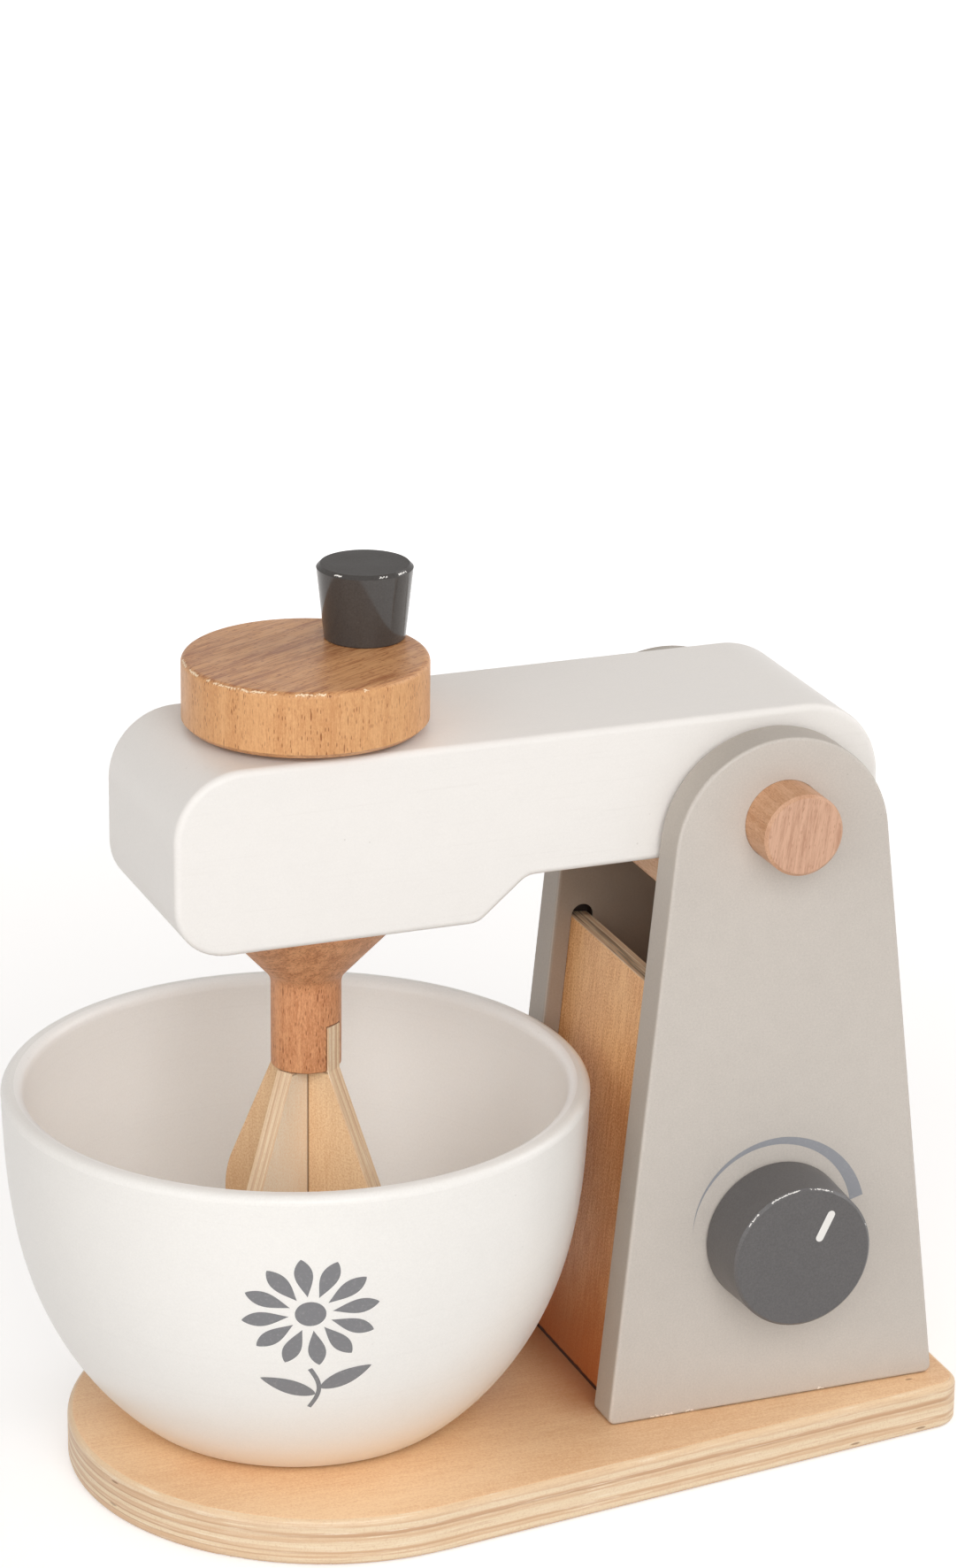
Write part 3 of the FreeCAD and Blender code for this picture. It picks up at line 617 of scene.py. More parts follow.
# side panels; depths are sideways from the toy's middle
panel = {
    "colour": rgb(205, 198, 190), "mottle": 0.07, "grain": 0.31, "dust": 0.25, "roughness": 0.46,
    "peel": 1500.0, "specular": 0.4, "coat": 0.0, "coatRoughness": 0.3, "bump": 0.28,
    "outerDepth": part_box("plain_side_panel")[1].y,
    "innerDepth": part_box("plain_side_panel")[0].y,
    # painted shade: darker edges and inside faces, and near-black grooves
    "edgePaintedShadeTone": rgb(228, 226, 223),
    "innerPaintedShadeTone": rgb(206, 192, 180),
    "groovePaintedShadeColour": rgb(58, 46, 40),
    "grooveDepth": 38 * mm,
    "grooveTop": 140 * mm,
    "grooveFront": stand["frontFoot"] + 1.5 * mm,    # where lines along the grooves meet the floor
    "grooveRear": stand["rearFoot"] - 3.5 * mm,
    "jointColour": rgb(96, 70, 52),
    "jointHeight": 0.5 * mm,
    "chipHeight": 0.45 * mm,
    "chipAndHighlightPlaces": [(28.4 * mm, 34.8 * mm), (38.6 * mm, 40.7 * mm), (77 * mm, 79 * mm)],
    "chipEnd": 100 * mm,         # no chips behind this
    "chipAndHighlightWidth": 0.65 * mm, "chipAndHighlightAmount": 0.66, "chipAndHighlightSize": 330.0, "chipAndHighlightColour": rgb(246, 242, 236),
}


def panelGrooves(tree, place, depth, height):
    # 1 inside the grooves that hold the cross boards
    fromFront = vectorCalc(tree, "DOT_PRODUCT", place, (1, 0, -math.tan(stand["frontLean"])))
    fromRear = vectorCalc(tree, "DOT_PRODUCT", place, (-1, 0, math.tan(stand["rearLean"])))
    behindFront = calc(tree, "GREATER_THAN", fromFront, panel["grooveFront"])
    beforeRear = calc(tree, "GREATER_THAN", fromRear, -panel["grooveRear"])
    below = calc(tree, "LESS_THAN", height, panel["grooveTop"])
    sunk = smooth(tree, depth, panel["innerDepth"] + 0.2 * mm, panel["innerDepth"] + 0.6 * mm)
    short = calc(tree, "LESS_THAN", depth, panel["grooveDepth"])
    return product(tree, behindFront, beforeRear, below, sunk, short)


def panelShade(tree, place, colour):
    # darker edges and inside faces, and near-black grooves, all painted shade; and a thin joint line at the
    # foot
    x, y, z = split(tree, place)
    depth = calc(tree, "ABSOLUTE", y)
    # painted shade on the inside faces
    inside = smooth(tree, depth, panel["innerDepth"] + 0.5 * mm, panel["innerDepth"] + 0.1 * mm)
    faces = mixColour(tree, inside, colour, tint(tree, colour, panel["innerPaintedShadeTone"]))
    # painted shade on the edges
    onFace = facing(tree, crosswise, low=0.25, high=0.85)
    colour = mixColour(tree, onFace, tint(tree, colour, panel["edgePaintedShadeTone"]), faces)
    # painted shade: the grooves are near black
    colour = mixColour(tree, panelGrooves(tree, place, depth, z), colour, panel["groovePaintedShadeColour"])
    ragged = cloud(tree, place, scale=300, detail=3)
    line = weighted(tree, stand["baseTop"], (ragged, panel["jointHeight"]))
    return mixColour(tree, calc(tree, "LESS_THAN", z, line), colour, panel["jointColour"])


def panelFoot(tree, place):
    # chips along the outer faces' lower edge
    x, y, z = split(tree, place)
    upwards = calc(tree, "ABSOLUTE", calc(tree, "SUBTRACT", z, stand["baseTop"] + panel["chipHeight"]))
    depth = calc(tree, "ABSOLUTE", y)
    sideways = calc(tree, "ABSOLUTE", calc(tree, "SUBTRACT", depth, panel["outerDepth"]))
    along = calc(tree, "DIVIDE", x, panel["chipEnd"])
    places = [(low / panel["chipEnd"], high / panel["chipEnd"]) for low, high in panel["chipAndHighlightPlaces"]]
    return calc(tree, "ADD", upwards, sideways), spans(tree, along, places)


panel["shade"] = panelShade
panel["edge"] = panelFoot
panelPaint = paintFinish("panel paint", panel)
dress("dial_side_panel", panelPaint)
dress("plain_side_panel", panelPaint)
print("side panels painted")

# arm
arm = {
    "colour": rgb(243, 240, 236), "mottle": 0.026, "grain": 0.11, "dust": 0.2, "roughness": 0.42,
    "peel": 1300.0, "specular": 0.4, "coat": 0.0, "coatRoughness": 0.3, "bump": 0.2,
    "toolMarkDepth": 0.35,
    "toolMarkStretch": (0.02, 1, 1),
}


def armSanding(tree, place):
    # fine lines along the arm
    return stretch(tree, place, arm["toolMarkStretch"])


arm["toolMarks"] = armSanding
dress("arm", paintFinish("arm paint", arm))
print("arm painted")

# bowl
bowl = {
    "colour": rgb(246, 244, 240), "mottle": 0.026, "grain": 0.15, "dust": 0.15, "roughness": 0.36,
    "peel": 1200.0, "specular": 0.4, "coat": 0.1, "coatRoughness": 0.25, "bump": 0.17,
    "axis": axisOf("bowl", upright),
    # painted light: the inside is whiter than the outside
    "insidePaintedLightColour": rgb(254, 252, 249),
    "toolMarkDepth": 0.3,
    "ringStretch": 0.7,
}


def bowlTurning(tree, place):
    # fine rings left from turning
    x, y, z = split(tree, vectorCalc(tree, "SUBTRACT", place, bowl["axis"]))
    radius = distance(tree, join(tree, x, y, 0.0))
    return join(tree, product(tree, radius, bowl["ringStretch"]), 0.0, z)


def bowlShade(tree, place, colour):
    # the inside, where the surface turns towards the axis, is given a whiter colour: painted light in its
    # shade
    outwards = stretch(tree, vectorCalc(tree, "SUBTRACT", place, bowl["axis"]), (1, 1, 0))
    normal = addNode(tree, "ShaderNodeTexCoord").outputs["Normal"]
    turned = vectorCalc(tree, "DOT_PRODUCT", normal, outwards)
    return mixColour(tree, smooth(tree, turned, -8 * mm, 1 * mm), bowl["insidePaintedLightColour"], colour)


bowl["toolMarks"] = bowlTurning
bowl["shade"] = bowlShade
dress("bowl", paintFinish("bowl paint", bowl))
print("bowl painted")


def rimChipsAndHighlight(look, lying=False):
    # chips round the rim of a turned piece that stands upright, or lies along Y; on the disc they draw a
    # painted highlight
    def edge(tree, place):
        x, y, z = split(tree, vectorCalc(tree, "SUBTRACT", place, look["axis"]))
        second, height = (z, y) if lying else (y, z)
        radius = distance(tree, join(tree, x, second, 0.0))
        turn = weighted(tree, 0.5, (calc(tree, "ARCTAN2", second, x), 0.5 / math.pi))
        outwards = calc(tree, "ABSOLUTE", calc(tree, "SUBTRACT", radius, look["rimRadius"]))
        upwards = calc(tree, "ABSOLUTE", calc(tree, "SUBTRACT", height, look["rimHeight"]))
        return calc(tree, "ADD", outwards, upwards), spans(tree, turn, look["chipAndHighlightPlaces"])

    return edge


# beech pieces: corner and turn choose the part of the wood that a piece is cut from,
# and chipAndHighlightPlaces are shares of the way round a rim
disc = {
    "corner": (0.02, 0.01, 0), "turn": (0, 0, math.radians(-28)), "grain": upright, "fine": 1.12,
    "light": rgb(228, 176, 124), "dark": rgb(204, 146, 96), "fleck": rgb(142, 84, 46),
    "endLight": rgb(216, 162, 112), "endDark": rgb(162, 102, 62), "flecks": 1.0, "coat": 0.05, "bump": 0.45,
    "axis": axisOf("spindle_dowel", upright),
    "rimRadius": sizeOf("crank_disc").y / 2 - 0.5 * mm,
    "rimHeight": topOf("crank_disc") - 0.5 * mm,
    # painted highlight: the pale broken line round the front of the top rim stands for gloss on the rounded
    # edge
    "chipAndHighlightPlaces": [(0.0, 0.03), (0.05, 0.16), (0.18, 0.22), (0.27, 0.28), (0.62, 0.68), (0.96, 0.99)],
    "chipAndHighlightWidth": 0.6 * mm, "chipAndHighlightAmount": 0.56, "chipAndHighlightSize": 500.0, "chipAndHighlightColour": rgb(252, 226, 192),
}
disc["edge"] = rimChipsAndHighlight(disc)
dress("crank_disc", beechFinish("disc beech", disc))

discWasher = {
    "corner": (0.05, 0.01, 0), "turn": (0, 0, 1.1), "grain": upright,
    "light": rgb(214, 164, 120), "dark": rgb(194, 138, 96), "fleck": rgb(146, 92, 56),
    "endLight": rgb(200, 150, 112), "endDark": rgb(178, 124, 88), "flecks": 0.6, "coat": 0.2, "bump": 0.3,
}
dress("disc_washer", beechFinish("washer beech", discWasher))

# places that the hub and the blades share
whisk = {
    "axis": axisOf("spindle_dowel", upright),
    "slotWay": math.radians(33),     # square to the blade in the slot
    "halfBlade": 2.5 * mm,
    "bladeTop": topOf("whisk_blade_slotted"),
    "hubBottom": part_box("whisk_hub")[0].z,
}


def whiskDistance(tree, place, angle):
    # distance from the upright plane through the whisk's axis that faces along angle
    fromAxis = vectorCalc(tree, "SUBTRACT", place, whisk["axis"])
    way = (math.cos(angle), math.sin(angle), 0)
    return calc(tree, "ABSOLUTE", vectorCalc(tree, "DOT_PRODUCT", fromAxis, way))


hub = {
    "corner": (0.11, 0.02, 0), "turn": (0, 0, 1.4), "grain": upright, "fine": 1.1,
    "light": rgb(230, 170, 124), "dark": rgb(192, 126, 84), "fleck": rgb(136, 72, 40),
    "endLight": rgb(244, 188, 142), "endDark": rgb(146, 84, 50), "flecks": 1.0, "coat": 0.05, "bump": 0.5,
    "seamColour": rgb(92, 54, 32), "seamStrength": 0.75,
    "seamRagged": 0.5 * mm,
    "seamBeside": 0.6 * mm,          # widths of the line beside the blade, above it and at the end
    "seamAbove": 0.65 * mm,
    "seamEnd": 0.55 * mm,
}


def hubSeam(tree, place):
    # glue line round the slot, and the edge of the lower end
    ragged = product(tree, cloud(tree, place, scale=700, detail=2), hub["seamRagged"])
    sideways = calc(tree, "ADD", whiskDistance(tree, place, whisk["slotWay"]), ragged)
    height = calc(tree, "ADD", split(tree, place)["Z"], ragged)
    beside = calc(tree, "LESS_THAN", sideways, whisk["halfBlade"] + hub["seamBeside"])
    below = calc(tree, "LESS_THAN", height, whisk["bladeTop"] + hub["seamAbove"])
    end = calc(tree, "LESS_THAN", height, whisk["hubBottom"] + hub["seamEnd"])
    line = calc(tree, "MAXIMUM", product(tree, beside, below), end)
    return product(tree, line, hub["seamStrength"])


hub["seam"] = hubSeam
dress("whisk_hub", beechFinish("hub beech", hub))

# the turn lays Z of the grain along the world's Y, here and on the rest bar
pivot = {
    "corner": (0.21, 0.0, 0.03), "turn": (math.pi / 2, 0, math.radians(82)), "grain": crosswise, "fine": 1.4,
    "light": rgb(218, 172, 136), "dark": rgb(190, 138, 98), "fleck": rgb(146, 96, 64),
    "endLight": rgb(217, 175, 148), "endDark": rgb(189, 144, 118), "flecks": 0.6, "coat": 0.05, "bump": 0.5,
}
dress("pivot_dowel", beechFinish("pivot beech", pivot))

restBar = {
    "corner": (0.24, 0.0, 0.01), "turn": (math.pi / 2, 0, 0), "grain": crosswise,
    "light": rgb(230, 188, 146), "dark": rgb(208, 156, 112), "fleck": rgb(156, 106, 70),
    "endLight": rgb(212, 166, 126), "endDark": rgb(190, 138, 98), "flecks": 0.6, "coat": 0.1, "bump": 0.4,
}
dress("arm_rest_bar", beechFinish("bar beech", restBar))

# the thin dowels share one colour
thinDowel = {
    "light": rgb(228, 182, 140), "dark": rgb(206, 152, 108), "fleck": rgb(150, 96, 60),
    "endLight": rgb(210, 160, 122), "endDark": rgb(188, 134, 98), "flecks": 0.6, "coat": 0.1, "bump": 0.3,
}
spindle = {**thinDowel, "corner": (0.15, 0.0, 0), "turn": (0, 0, 0.2), "grain": upright}
knobDowel = {**thinDowel, "corner": (0.18, 0.0, 0), "turn": (0, 0, 0.9), "grain": upright}
barDowels = {**thinDowel, "corner": (0.27, 0.0, 0), "turn": (math.pi / 2, 0, 0.4), "grain": crosswise}
dress("spindle_dowel", beechFinish("spindle beech", spindle))
dress("crank_knob_dowel", beechFinish("knob dowel beech", knobDowel))
dress("rest_bar_dowels", beechFinish("bar dowel beech", barDowels))
print("beech pieces finished")

# what the two whisk blades share
blade = {
    "thickness": 2 * whisk["halfBlade"], "grain": upright, "wander": 0.05, "lines": 0.9, "speckle": 2.0,
    "seamColour": rgb(120, 80, 48), "seamStrength": 0.7,
    "crossingOuter": 0.45 * mm,      # beside the other blade: where the line ends, and where it is full
    "crossingInner": 0.2 * mm,
    "underHubOuter": 0.9 * mm,       # the same, below the hub
    "underHubInner": 0.3 * mm,
}


def bladeSeam(tree, place, angle, normal):
    # dark lines where the blades cross and under the hub
    height = split(tree, place)["Z"]
    across = whiskDistance(tree, place, angle + math.pi / 2)
    crossing = smooth(tree, across, whisk["halfBlade"] + blade["crossingOuter"],
                      whisk["halfBlade"] + blade["crossingInner"])
    under = smooth(tree, height, whisk["hubBottom"] - blade["underHubOuter"],
                   whisk["hubBottom"] - blade["underHubInner"])
    under = product(tree, under, calc(tree, "LESS_THAN", height, whisk["hubBottom"]))
    line = calc(tree, "MAXIMUM", crossing, under)
    return product(tree, line, facing(tree, normal, low=0.9, high=0.98), blade["seamStrength"])


def bladeLook(angle, seed, light, dark):
    # own Z goes through the blade, own X up it
    normal = Vector((math.cos(angle), math.sin(angle), 0))
    return {
        **blade, "seed": seed, "light": light, "dark": dark, "facing": normal,
        "corner": whisk["axis"] - normal * whisk["halfBlade"],
        "turn": Matrix((upright, normal.cross(upright), normal)).to_euler("XYZ"),
        "seam": lambda tree, place: bladeSeam(tree, place, angle, normal),
    }


slottedBlade = bladeLook(whisk["slotWay"], 0.59, rgb(253, 221, 180), rgb(230, 186, 140))
# the crossing blade's paler colours are partly the plywood's own and partly painted light, raised to lighten
# the shade it lies in
crossingBlade = bladeLook(whisk["slotWay"] + math.pi / 2, 0.13, rgb(255, 241, 220), rgb(246, 221, 190))
dress("whisk_blade_slotted", plywoodFinish("slotted blade plywood", slottedBlade))
dress("whisk_blade_crossing", plywoodFinish("crossing blade plywood", crossingBlade))
print("whisk blades finished")

# dial, which narrows towards its face
dial = {
    "colour": rgb(95, 93, 93), "mottle": 0.12, "grain": 0.7, "dust": 0.4, "roughness": 0.42,
    "peel": 1100.0, "specular": 0.4, "coat": 0.1, "coatRoughness": 0.3, "bump": 0.35,
    "axis": axisOf("dial_knob", crosswise),
    "face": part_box("dial_knob")[0].y,
    "rimRadius": 19.2 * mm,
    "rimHeight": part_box("dial_knob")[0].y + 0.3 * mm,
    "chipAndHighlightPlaces": [(0.545, 0.555), (0.678, 0.736), (0.756, 0.83), (0.864, 0.9)],
    "chipAndHighlightWidth": 0.32 * mm, "chipAndHighlightAmount": 0.68, "chipAndHighlightSize": 500.0, "chipAndHighlightColour": rgb(232, 230, 226),
}
dial["edge"] = rimChipsAndHighlight(dial, lying=True)
dress("dial_knob", paintFinish("dial lacquer", dial))

# crank knob
crankKnob = {
    "colour": rgb(73, 70, 68), "mottle": 0.14, "grain": 0.6, "dust": 0.4, "roughness": 0.4,
    "peel": 600.0, "specular": 0.06, "coat": 0.8, "coatRoughness": 0.1, "bump": 0.3,
    "axis": axisOf("crank_knob", upright),
    "rimRadius": sizeOf("crank_knob").x / 2 - 0.4 * mm,
    "rimHeight": topOf("crank_knob") - 0.5 * mm,
    "chipAndHighlightPlaces": [(0.08, 0.11), (0.24, 0.272), (0.32, 0.361), (0.72, 0.75)],
    "chipAndHighlightWidth": 0.36 * mm, "chipAndHighlightAmount": 0.66, "chipAndHighlightSize": 500.0, "chipAndHighlightColour": rgb(244, 242, 238),
}


def polishedSide(tree, coat):
    # the top is rubbed dull, the side keeps its gloss
    return product(tree, calc(tree, "SUBTRACT", 1.0, facing(tree, upright, low=0.3, high=0.95)), coat)


crankKnob["gloss"] = polishedSide
crankKnob["edge"] = rimChipsAndHighlight(crankKnob)
dress("crank_knob", paintFinish("crank lacquer", crankKnob))
print("dial and crank knob painted")

# steel screws and washer
steel = {"light": rgb(205, 204, 200), "dark": rgb(168, 168, 164), "bump": 0.15}


def steelFinish(name, look):
    material, tree, shader, place = newMaterial(name)
    brushed = cloud(tree, stretch(tree, place, (1, 1, 0.2)), scale=3000, detail=2)
    dull = cloud(tree, place, scale=300, detail=3)
    tree.links.new(mixColour(tree, dull, look["light"], look["dark"]), shader.inputs["Base Color"])
    shader.inputs["Metallic"].default_value = 1.0
    tree.links.new(weighted(tree, 0.25, (dull, 0.25)), shader.inputs["Roughness"])
    addBump(tree, shader, brushed, look["bump"])
    return material


screwSteel = steelFinish("zinc plated steel", steel)
for name in ("base_screws", "dial_screw", "dial_washer"):
    dress(name, screwSteel)
print("steel finished")

# printed marks lie this far proud of the piece below
printLift = 0.04 * mm
printBelow = rgb(225, 223, 220)


def printFinish(name, look):
    # thin is how much of the paint below shows in small specks
    material, tree, shader, place = newMaterial(name)
    patch = cloud(tree, place, scale=1300, detail=3)
    bare = smooth(tree, patch, 0.5, 0.8, outHigh=look["thin"])
    tree.links.new(mixColour(tree, bare, look["colour"], printBelow), shader.inputs["Base Color"])
    tree.links.new(weighted(tree, 0.4, (patch, 0.12)), shader.inputs["Roughness"])
    addBump(tree, shader, patch, 0.08)
    return material


def meshPiece(name, vertices, faces, material, body):
    mesh = bpy.data.meshes.new(name)
    mesh.from_pydata(vertices, [], faces)
    mesh.validate()
    mesh.materials.append(material)
    for polygon in mesh.polygons:
        polygon.use_smooth = True
    piece = bpy.data.objects.new(name, mesh)
    bpy.context.scene.collection.objects.link(piece)
    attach(piece, body)


def gridFaces(rows, columns):
    faces = []
    for row in range(rows - 1):
        for column in range(columns - 1):
            corner = row * columns + column
            faces.append((corner, corner + 1, corner + columns + 1, corner + columns))
    return faces


def leafShape(start, end, halfWidth, blunt):
    # leaf or petal from start to end as a grid of points; blunt moves its widest place outwards
    rows = 25
    halfColumns = 3
    start = Vector(start)
    along = Vector(end) - start
    side = Vector((-along.y, along.x)).normalized()
    points = []
    for row in range(rows):
        share = row / (rows - 1)
        width = halfWidth * math.sin(math.pi * share ** blunt) ** 0.8
        for column in range(-halfColumns, halfColumns + 1):
            points.append(start + along * share + side * width * column / halfColumns)
    return points, gridFaces(rows, 2 * halfColumns + 1)


def strokeShape(line, halfWidth):
    # band of even width along the points
    sides = (-1, 0, 1)
    line = [Vector(point) for point in line]
    points = []
    for index, point in enumerate(line):
        along = line[min(index + 1, len(line) - 1)] - line[max(index - 1, 0)]
        side = Vector((-along.y, along.x)).normalized()
        for place in sides:
            points.append(point + side * halfWidth * place)
    return points, gridFaces(len(line), len(sides))


def discShape(centre, radius):
    rings = 4
    spokes = 32
    centre = Vector(centre)
    points = [centre]
    for ring in range(1, rings + 1):
        for spoke in range(spokes):
            angle = 2 * math.pi * spoke / spokes
            points.append(centre + Vector((math.cos(angle), math.sin(angle))) * radius * ring / rings)
    faces = []
    for spoke in range(spokes):
        following = (spoke + 1) % spokes
        faces.append((0, 1 + spoke, 1 + following))
        for ring in range(rings - 1):
            low = 1 + ring * spokes
            faces.append((low + spoke, low + spokes + spoke, low + spokes + following, low + following))
    return points, faces


# flower on the bowl; its flat places are across and up from where angle and height point
flower = {
    "colour": rgb(126, 126, 129), "thin": 0.12,
    "angle": math.radians(-106.5),   # direction round the bowl's axis
    "height": 65.5 * mm,
    "wallRadius": 70 * mm,           # of the bowl at that height
    "squeeze": 0.96,                 # because the wall leans
    "head": (0.0, 7.5 * mm),
    "eye": 3.7 * mm,
    "petals": 12,
    "firstPetal": 0.14,
    "petalInner": 5.2 * mm,
    "petalOuter": 16.5 * mm,
    "petalHalfWidth": 2.15 * mm,
    "petalBlunt": 1.35,
    "stemStart": 17.6 * mm,          # below the head
    "stemLength": 13.6 * mm,
    "stemBend": 2.4 * mm,
    "stemHalfWidth": 0.6 * mm,
    "stemSteps": 20,
    "leafBlunt": 0.85,
    "leaves": [
        {"start": (2.6 * mm, -16.8 * mm), "end": (15.5 * mm, -10.2 * mm), "halfWidth": 2.5 * mm},
        {"start": (1.6 * mm, -19.0 * mm), "end": (-12.5 * mm, -13.2 * mm), "halfWidth": 2.4 * mm},
    ],
}


def flowerShapes():
    head = Vector(flower["head"])
    shapes = [discShape(head, flower["eye"])]
    for petal in range(flower["petals"]):
        angle = 2 * math.pi * petal / flower["petals"] + flower["firstPetal"]
        way = Vector((math.cos(angle), math.sin(angle)))
        shapes.append(leafShape(head + way * flower["petalInner"], head + way * flower["petalOuter"],
                                flower["petalHalfWidth"], flower["petalBlunt"]))
    stem = []
    for step in range(flower["stemSteps"] + 1):
        share = step / flower["stemSteps"]
        bend = flower["stemBend"] * math.sin(math.pi * share)
        stem.append((bend, head.y - flower["stemStart"] - flower["stemLength"] * share))
    shapes.append(strokeShape(stem, flower["stemHalfWidth"]))
    for leaf in flower["leaves"]:
        shapes.append(leafShape(leaf["start"], leaf["end"], leaf["halfWidth"], flower["leafBlunt"]))
    return shapes


def wrapOnBowl(shapes):
    # lays flat shapes on the bowl's outside, by rays from outside towards its axis
    bowlMesh = nodes["bowl"].data
    tree = BVHTree.FromPolygons([vertex.co.copy() for vertex in bowlMesh.vertices],
                                [tuple(polygon.vertices) for polygon in bowlMesh.polygons])
    outside = sizeOf("bowl").x
    outwards = Vector((math.cos(flower["angle"]), math.sin(flower["angle"]), 0))
    sideways = Vector((-outwards.y, outwards.x, 0))
    vertices = []
    faces = []
    for points, quads in shapes:
        first = len(vertices)
        for point in points:
            turn = point.x / flower["wallRadius"]
            way = outwards * math.cos(turn) + sideways * math.sin(turn)
            height = flower["height"] + point.y * flower["squeeze"]
            start = bowl["axis"] + way * outside + upright * height
            hit, normal, index, reach = tree.ray_cast(start, -way)
            vertices.append(hit + normal * printLift)
        for quad in quads:
            faces.append(tuple(first + corner for corner in quad))
    return vertices, faces


flowerPoints, flowerFaces = wrapOnBowl(flowerShapes())
flowerPrint = printFinish("print grey", flower)
meshPiece("bowl_flower_print", flowerPoints, flowerFaces, flowerPrint, "mixing_bowl")
print("flower printed on the bowl")

# band beside the dial: it starts thin, and widens round the dial's axis
sweep = {
    "colour": rgb(150, 152, 158), "thin": 0.1,
    "angleFrom": math.radians(174),
    "angleTo": math.radians(15),
    "radiusFrom": 24.0 * mm,
    "radiusCrest": 26.9 * mm,
    "radiusTo": 26.2 * mm,
    "crest": 0.55,                   # share of the way to its largest radius
    "widthTo": 3.9 * mm,
    "widening": 1.15,
    "rows": 73,
    "columns": 5,
}


def dialSweep():
    vertices = []
    for row in range(sweep["rows"]):
        share = row / (sweep["rows"] - 1)
        angle = sweep["angleFrom"] + (sweep["angleTo"] - sweep["angleFrom"]) * share
        rise = math.sin(math.pi * min(share / sweep["crest"], 1.0) / 2)
        fall = max(share - sweep["crest"], 0) / (1 - sweep["crest"])
        outer = sweep["radiusFrom"] + (sweep["radiusCrest"] - sweep["radiusFrom"]) * rise
        outer += (sweep["radiusTo"] - sweep["radiusCrest"]) * fall
        width = sweep["widthTo"] * share ** sweep["widening"]
        for column in range(sweep["columns"]):
            radius = outer - width * column / (sweep["columns"] - 1)
            x = dial["axis"].x + radius * math.cos(angle)
            z = dial["axis"].z + radius * math.sin(angle)
            vertices.append((x, -panel["outerDepth"] - printLift, z))
    return vertices, gridFaces(sweep["rows"], sweep["columns"])


sweepPoints, sweepFaces = dialSweep()
sweepPrint = printFinish("sweep grey", sweep)
meshPiece("dial_sweep_print", sweepPoints, sweepFaces, sweepPrint, "stand")

# pointer on the dial's face; its ends are sideways and up from the dial's axis
pointer = {
    "colour": rgb(240, 238, 234), "thin": 0.0,
    "inner": (4.16 * mm, 3.96 * mm),
    "outer": (8.24 * mm, 12.08 * mm),
    "halfWidth": 1.1 * mm,
    "endSteps": 12,
}


def dialPointer():
    # straight bar with round ends
    middle = Vector((dial["axis"].x, dial["axis"].z))
    inner = middle + Vector(pointer["inner"])
    outer = middle + Vector(pointer["outer"])
    along = (outer - inner).normalized()
    half = pointer["halfWidth"]
    rim = []
    for end, way in ((outer - along * half, along), (inner + along * half, -along)):
        across = Vector((-way.y, way.x))
        for step in range(pointer["endSteps"] + 1):
            angle = -math.pi / 2 + math.pi * step / pointer["endSteps"]
            rim.append(end + (way * math.cos(angle) + across * math.sin(angle)) * half)
    return [(point.x, dial["face"] - printLift, point.y) for point in rim], [tuple(range(len(rim)))]


pointerPoints, pointerFaces = dialPointer()
pointerPrint = printFinish("pointer white", pointer)
meshPiece("dial_pointer_mark", pointerPoints, pointerFaces, pointerPrint, "dial")
print("dial marks printed")

# floor and world; lengths in metres
studio = {
    "floorHalf": 3.0,
    "floorDrop": 0.05 * mm,          # keeps it clear of the base's underside
    "floorColour": rgb(229, 229, 229),
    "floorRoughness": 0.9,
    "floorGlow": 0.45,               # near the toy, as the camera sees it; it grows to 1 outwards
    "glowFrom": 0.25,
    "glowTo": 1.2,
    "world": 0.33,
    "horizon": (1.0, 0.975, 0.95, 1.0),
    "zenith": (1.0, 0.90, 0.82, 1.0),
    "skyFrom": 0.1,
    "skyTo": 0.9,
}


def makeFloor():
    half = studio["floorHalf"]
    corners = [(-half, -half, 0), (half, -half, 0), (half, half, 0), (-half, half, 0)]
    mesh = bpy.data.meshes.new("floor")
    mesh.from_pydata(corners, [], [(0, 1, 2, 3)])
    floor = bpy.data.objects.new("floor", mesh)
    floor.location.z = -studio["floorDrop"]
    bpy.context.scene.collection.objects.link(floor)
    material, tree, shader, place = newMaterial("floor paper")
    shader.inputs["Base Color"].default_value = studio["floorColour"]
    shader.inputs["Roughness"].default_value = studio["floorRoughness"]
    shader.inputs["Emission Color"].default_value = white
    seen = addNode(tree, "ShaderNodeLightPath").outputs
    direct = calc(tree, "MAXIMUM", seen["Is Camera Ray"], seen["Is Glossy Ray"])
    glow = smooth(tree, distance(tree, place), studio["glowFrom"], studio["glowTo"],
                  outLow=studio["floorGlow"])
    tree.links.new(product(tree, direct, glow), shader.inputs["Emission Strength"])
    mesh.materials.append(material)


def makeWorld():
    world = bpy.data.worlds.new("studio")
    bpy.context.scene.world = world
    world.use_nodes = True
    tree = world.node_tree
    background = tree.nodes["Background"]
    seen = addNode(tree, "ShaderNodeLightPath").outputs
    direct = calc(tree, "MAXIMUM", seen["Is Camera Ray"], seen["Is Glossy Ray"])
    direct = calc(tree, "MAXIMUM", direct, seen["Is Transmission Ray"])
    strength = weighted(tree, studio["world"], (direct, 1.0 - studio["world"]))
    tree.links.new(strength, background.inputs["Strength"])
    height = split(tree, addNode(tree, "ShaderNodeTexCoord").outputs["Generated"])["Z"]
    rising = smooth(tree, height, studio["skyFrom"], studio["skyTo"])
    sky = mixColour(tree, rising, studio["horizon"], studio["zenith"])
    tree.links.new(mixColour(tree, direct, sky, white), background.inputs["Color"])


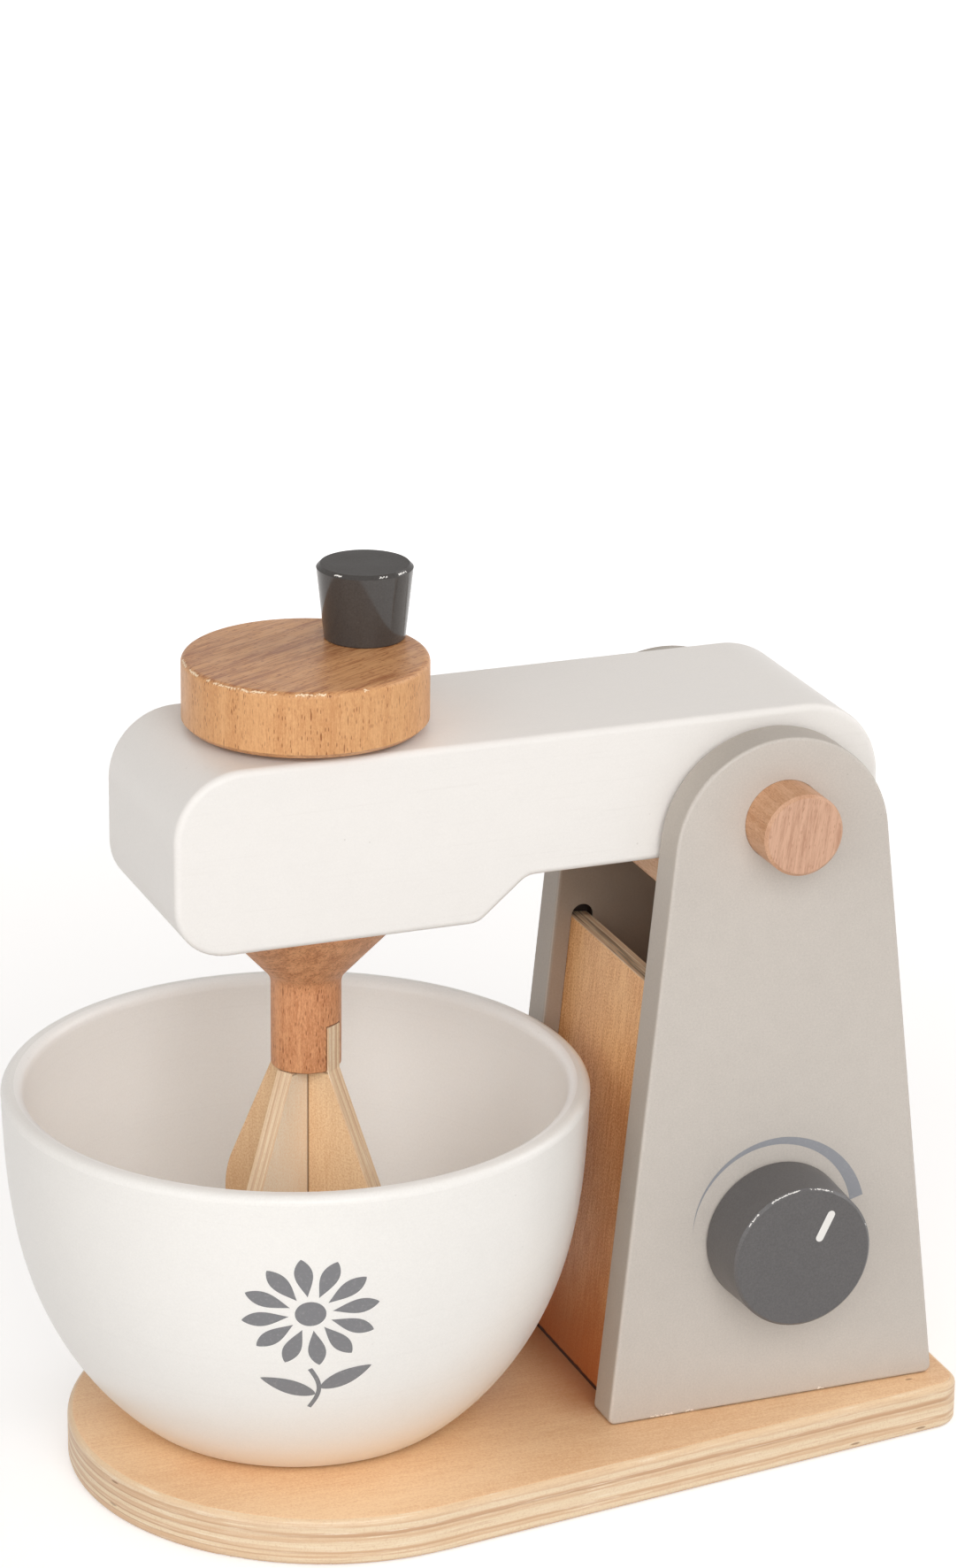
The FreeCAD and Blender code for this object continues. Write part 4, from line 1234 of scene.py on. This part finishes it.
# places in metres, power in watts
lamps = {
    "side": {"place": (1.645, 0, 1.05), "aim": (0, 0, 0.1), "size": 1.2, "power": 11.4},
    "front": {"place": (-0.29, -1.62, 1.05), "aim": (0, 0, 0.1), "size": 1.2, "power": 16.6},
    "left": {"place": (-1.49, -0.86, 0.90), "aim": (0, 0, 0.1), "size": 1.2, "power": 8.2},
}


def makeLamp(name, look):
    light = bpy.data.lights.new(name, "AREA")
    light.shape = "SQUARE"
    light.size = look["size"]
    light.energy = look["power"]
    lamp = bpy.data.objects.new(name, light)
    lamp.location = look["place"]
    aim = Vector(look["aim"]) - Vector(look["place"])
    lamp.rotation_euler = aim.to_track_quat("-Z", "Y").to_euler()
    bpy.context.scene.collection.objects.link(lamp)


camera = {
    "place": (-453.262 * mm, -1139.936 * mm, 616.514 * mm),
    "yaw": math.radians(-21.965),
    "pitch": math.radians(-18.536),
    "roll": math.radians(0.767),
    "focalPixels": 5656.81,
    "middle": (594.141, 789.492),    # where the lens axis meets the picture, in pixels
    "picture": (1082, 1772),
    "sensor": 36,                    # in Blender's own millimetres
    "near": 0.05,
    "far": 20,
}


def makeCamera():
    wide, tall = camera["picture"]
    yaw = camera["yaw"]
    pitch = camera["pitch"]
    roll = camera["roll"]
    forward = Vector((-math.sin(yaw) * math.cos(pitch), math.cos(yaw) * math.cos(pitch), math.sin(pitch)))
    right = forward.cross(upright).normalized()
    up = right.cross(forward)
    rolledRight = right * math.cos(roll) + up * math.sin(roll)
    rolledUp = up * math.cos(roll) - right * math.sin(roll)
    lens = bpy.data.cameras.new("camera")
    lens.sensor_width = camera["sensor"]
    lens.lens = camera["focalPixels"] * camera["sensor"] / tall
    lens.shift_x = (wide / 2 - camera["middle"][0]) / tall
    lens.shift_y = (camera["middle"][1] - tall / 2) / tall
    lens.clip_start = camera["near"]
    lens.clip_end = camera["far"]
    eye = bpy.data.objects.new("camera", lens)
    axes = Matrix((rolledRight, rolledUp, -forward)).transposed().to_4x4()
    eye.matrix_world = Matrix.Translation(camera["place"]) @ axes
    bpy.context.scene.collection.objects.link(eye)
    bpy.context.scene.camera = eye


makeFloor()
makeWorld()
for lampName, lampLook in lamps.items():
    makeLamp(lampName, lampLook)
makeCamera()
bpy.context.scene.view_settings.view_transform = "Standard"
print("studio ready")
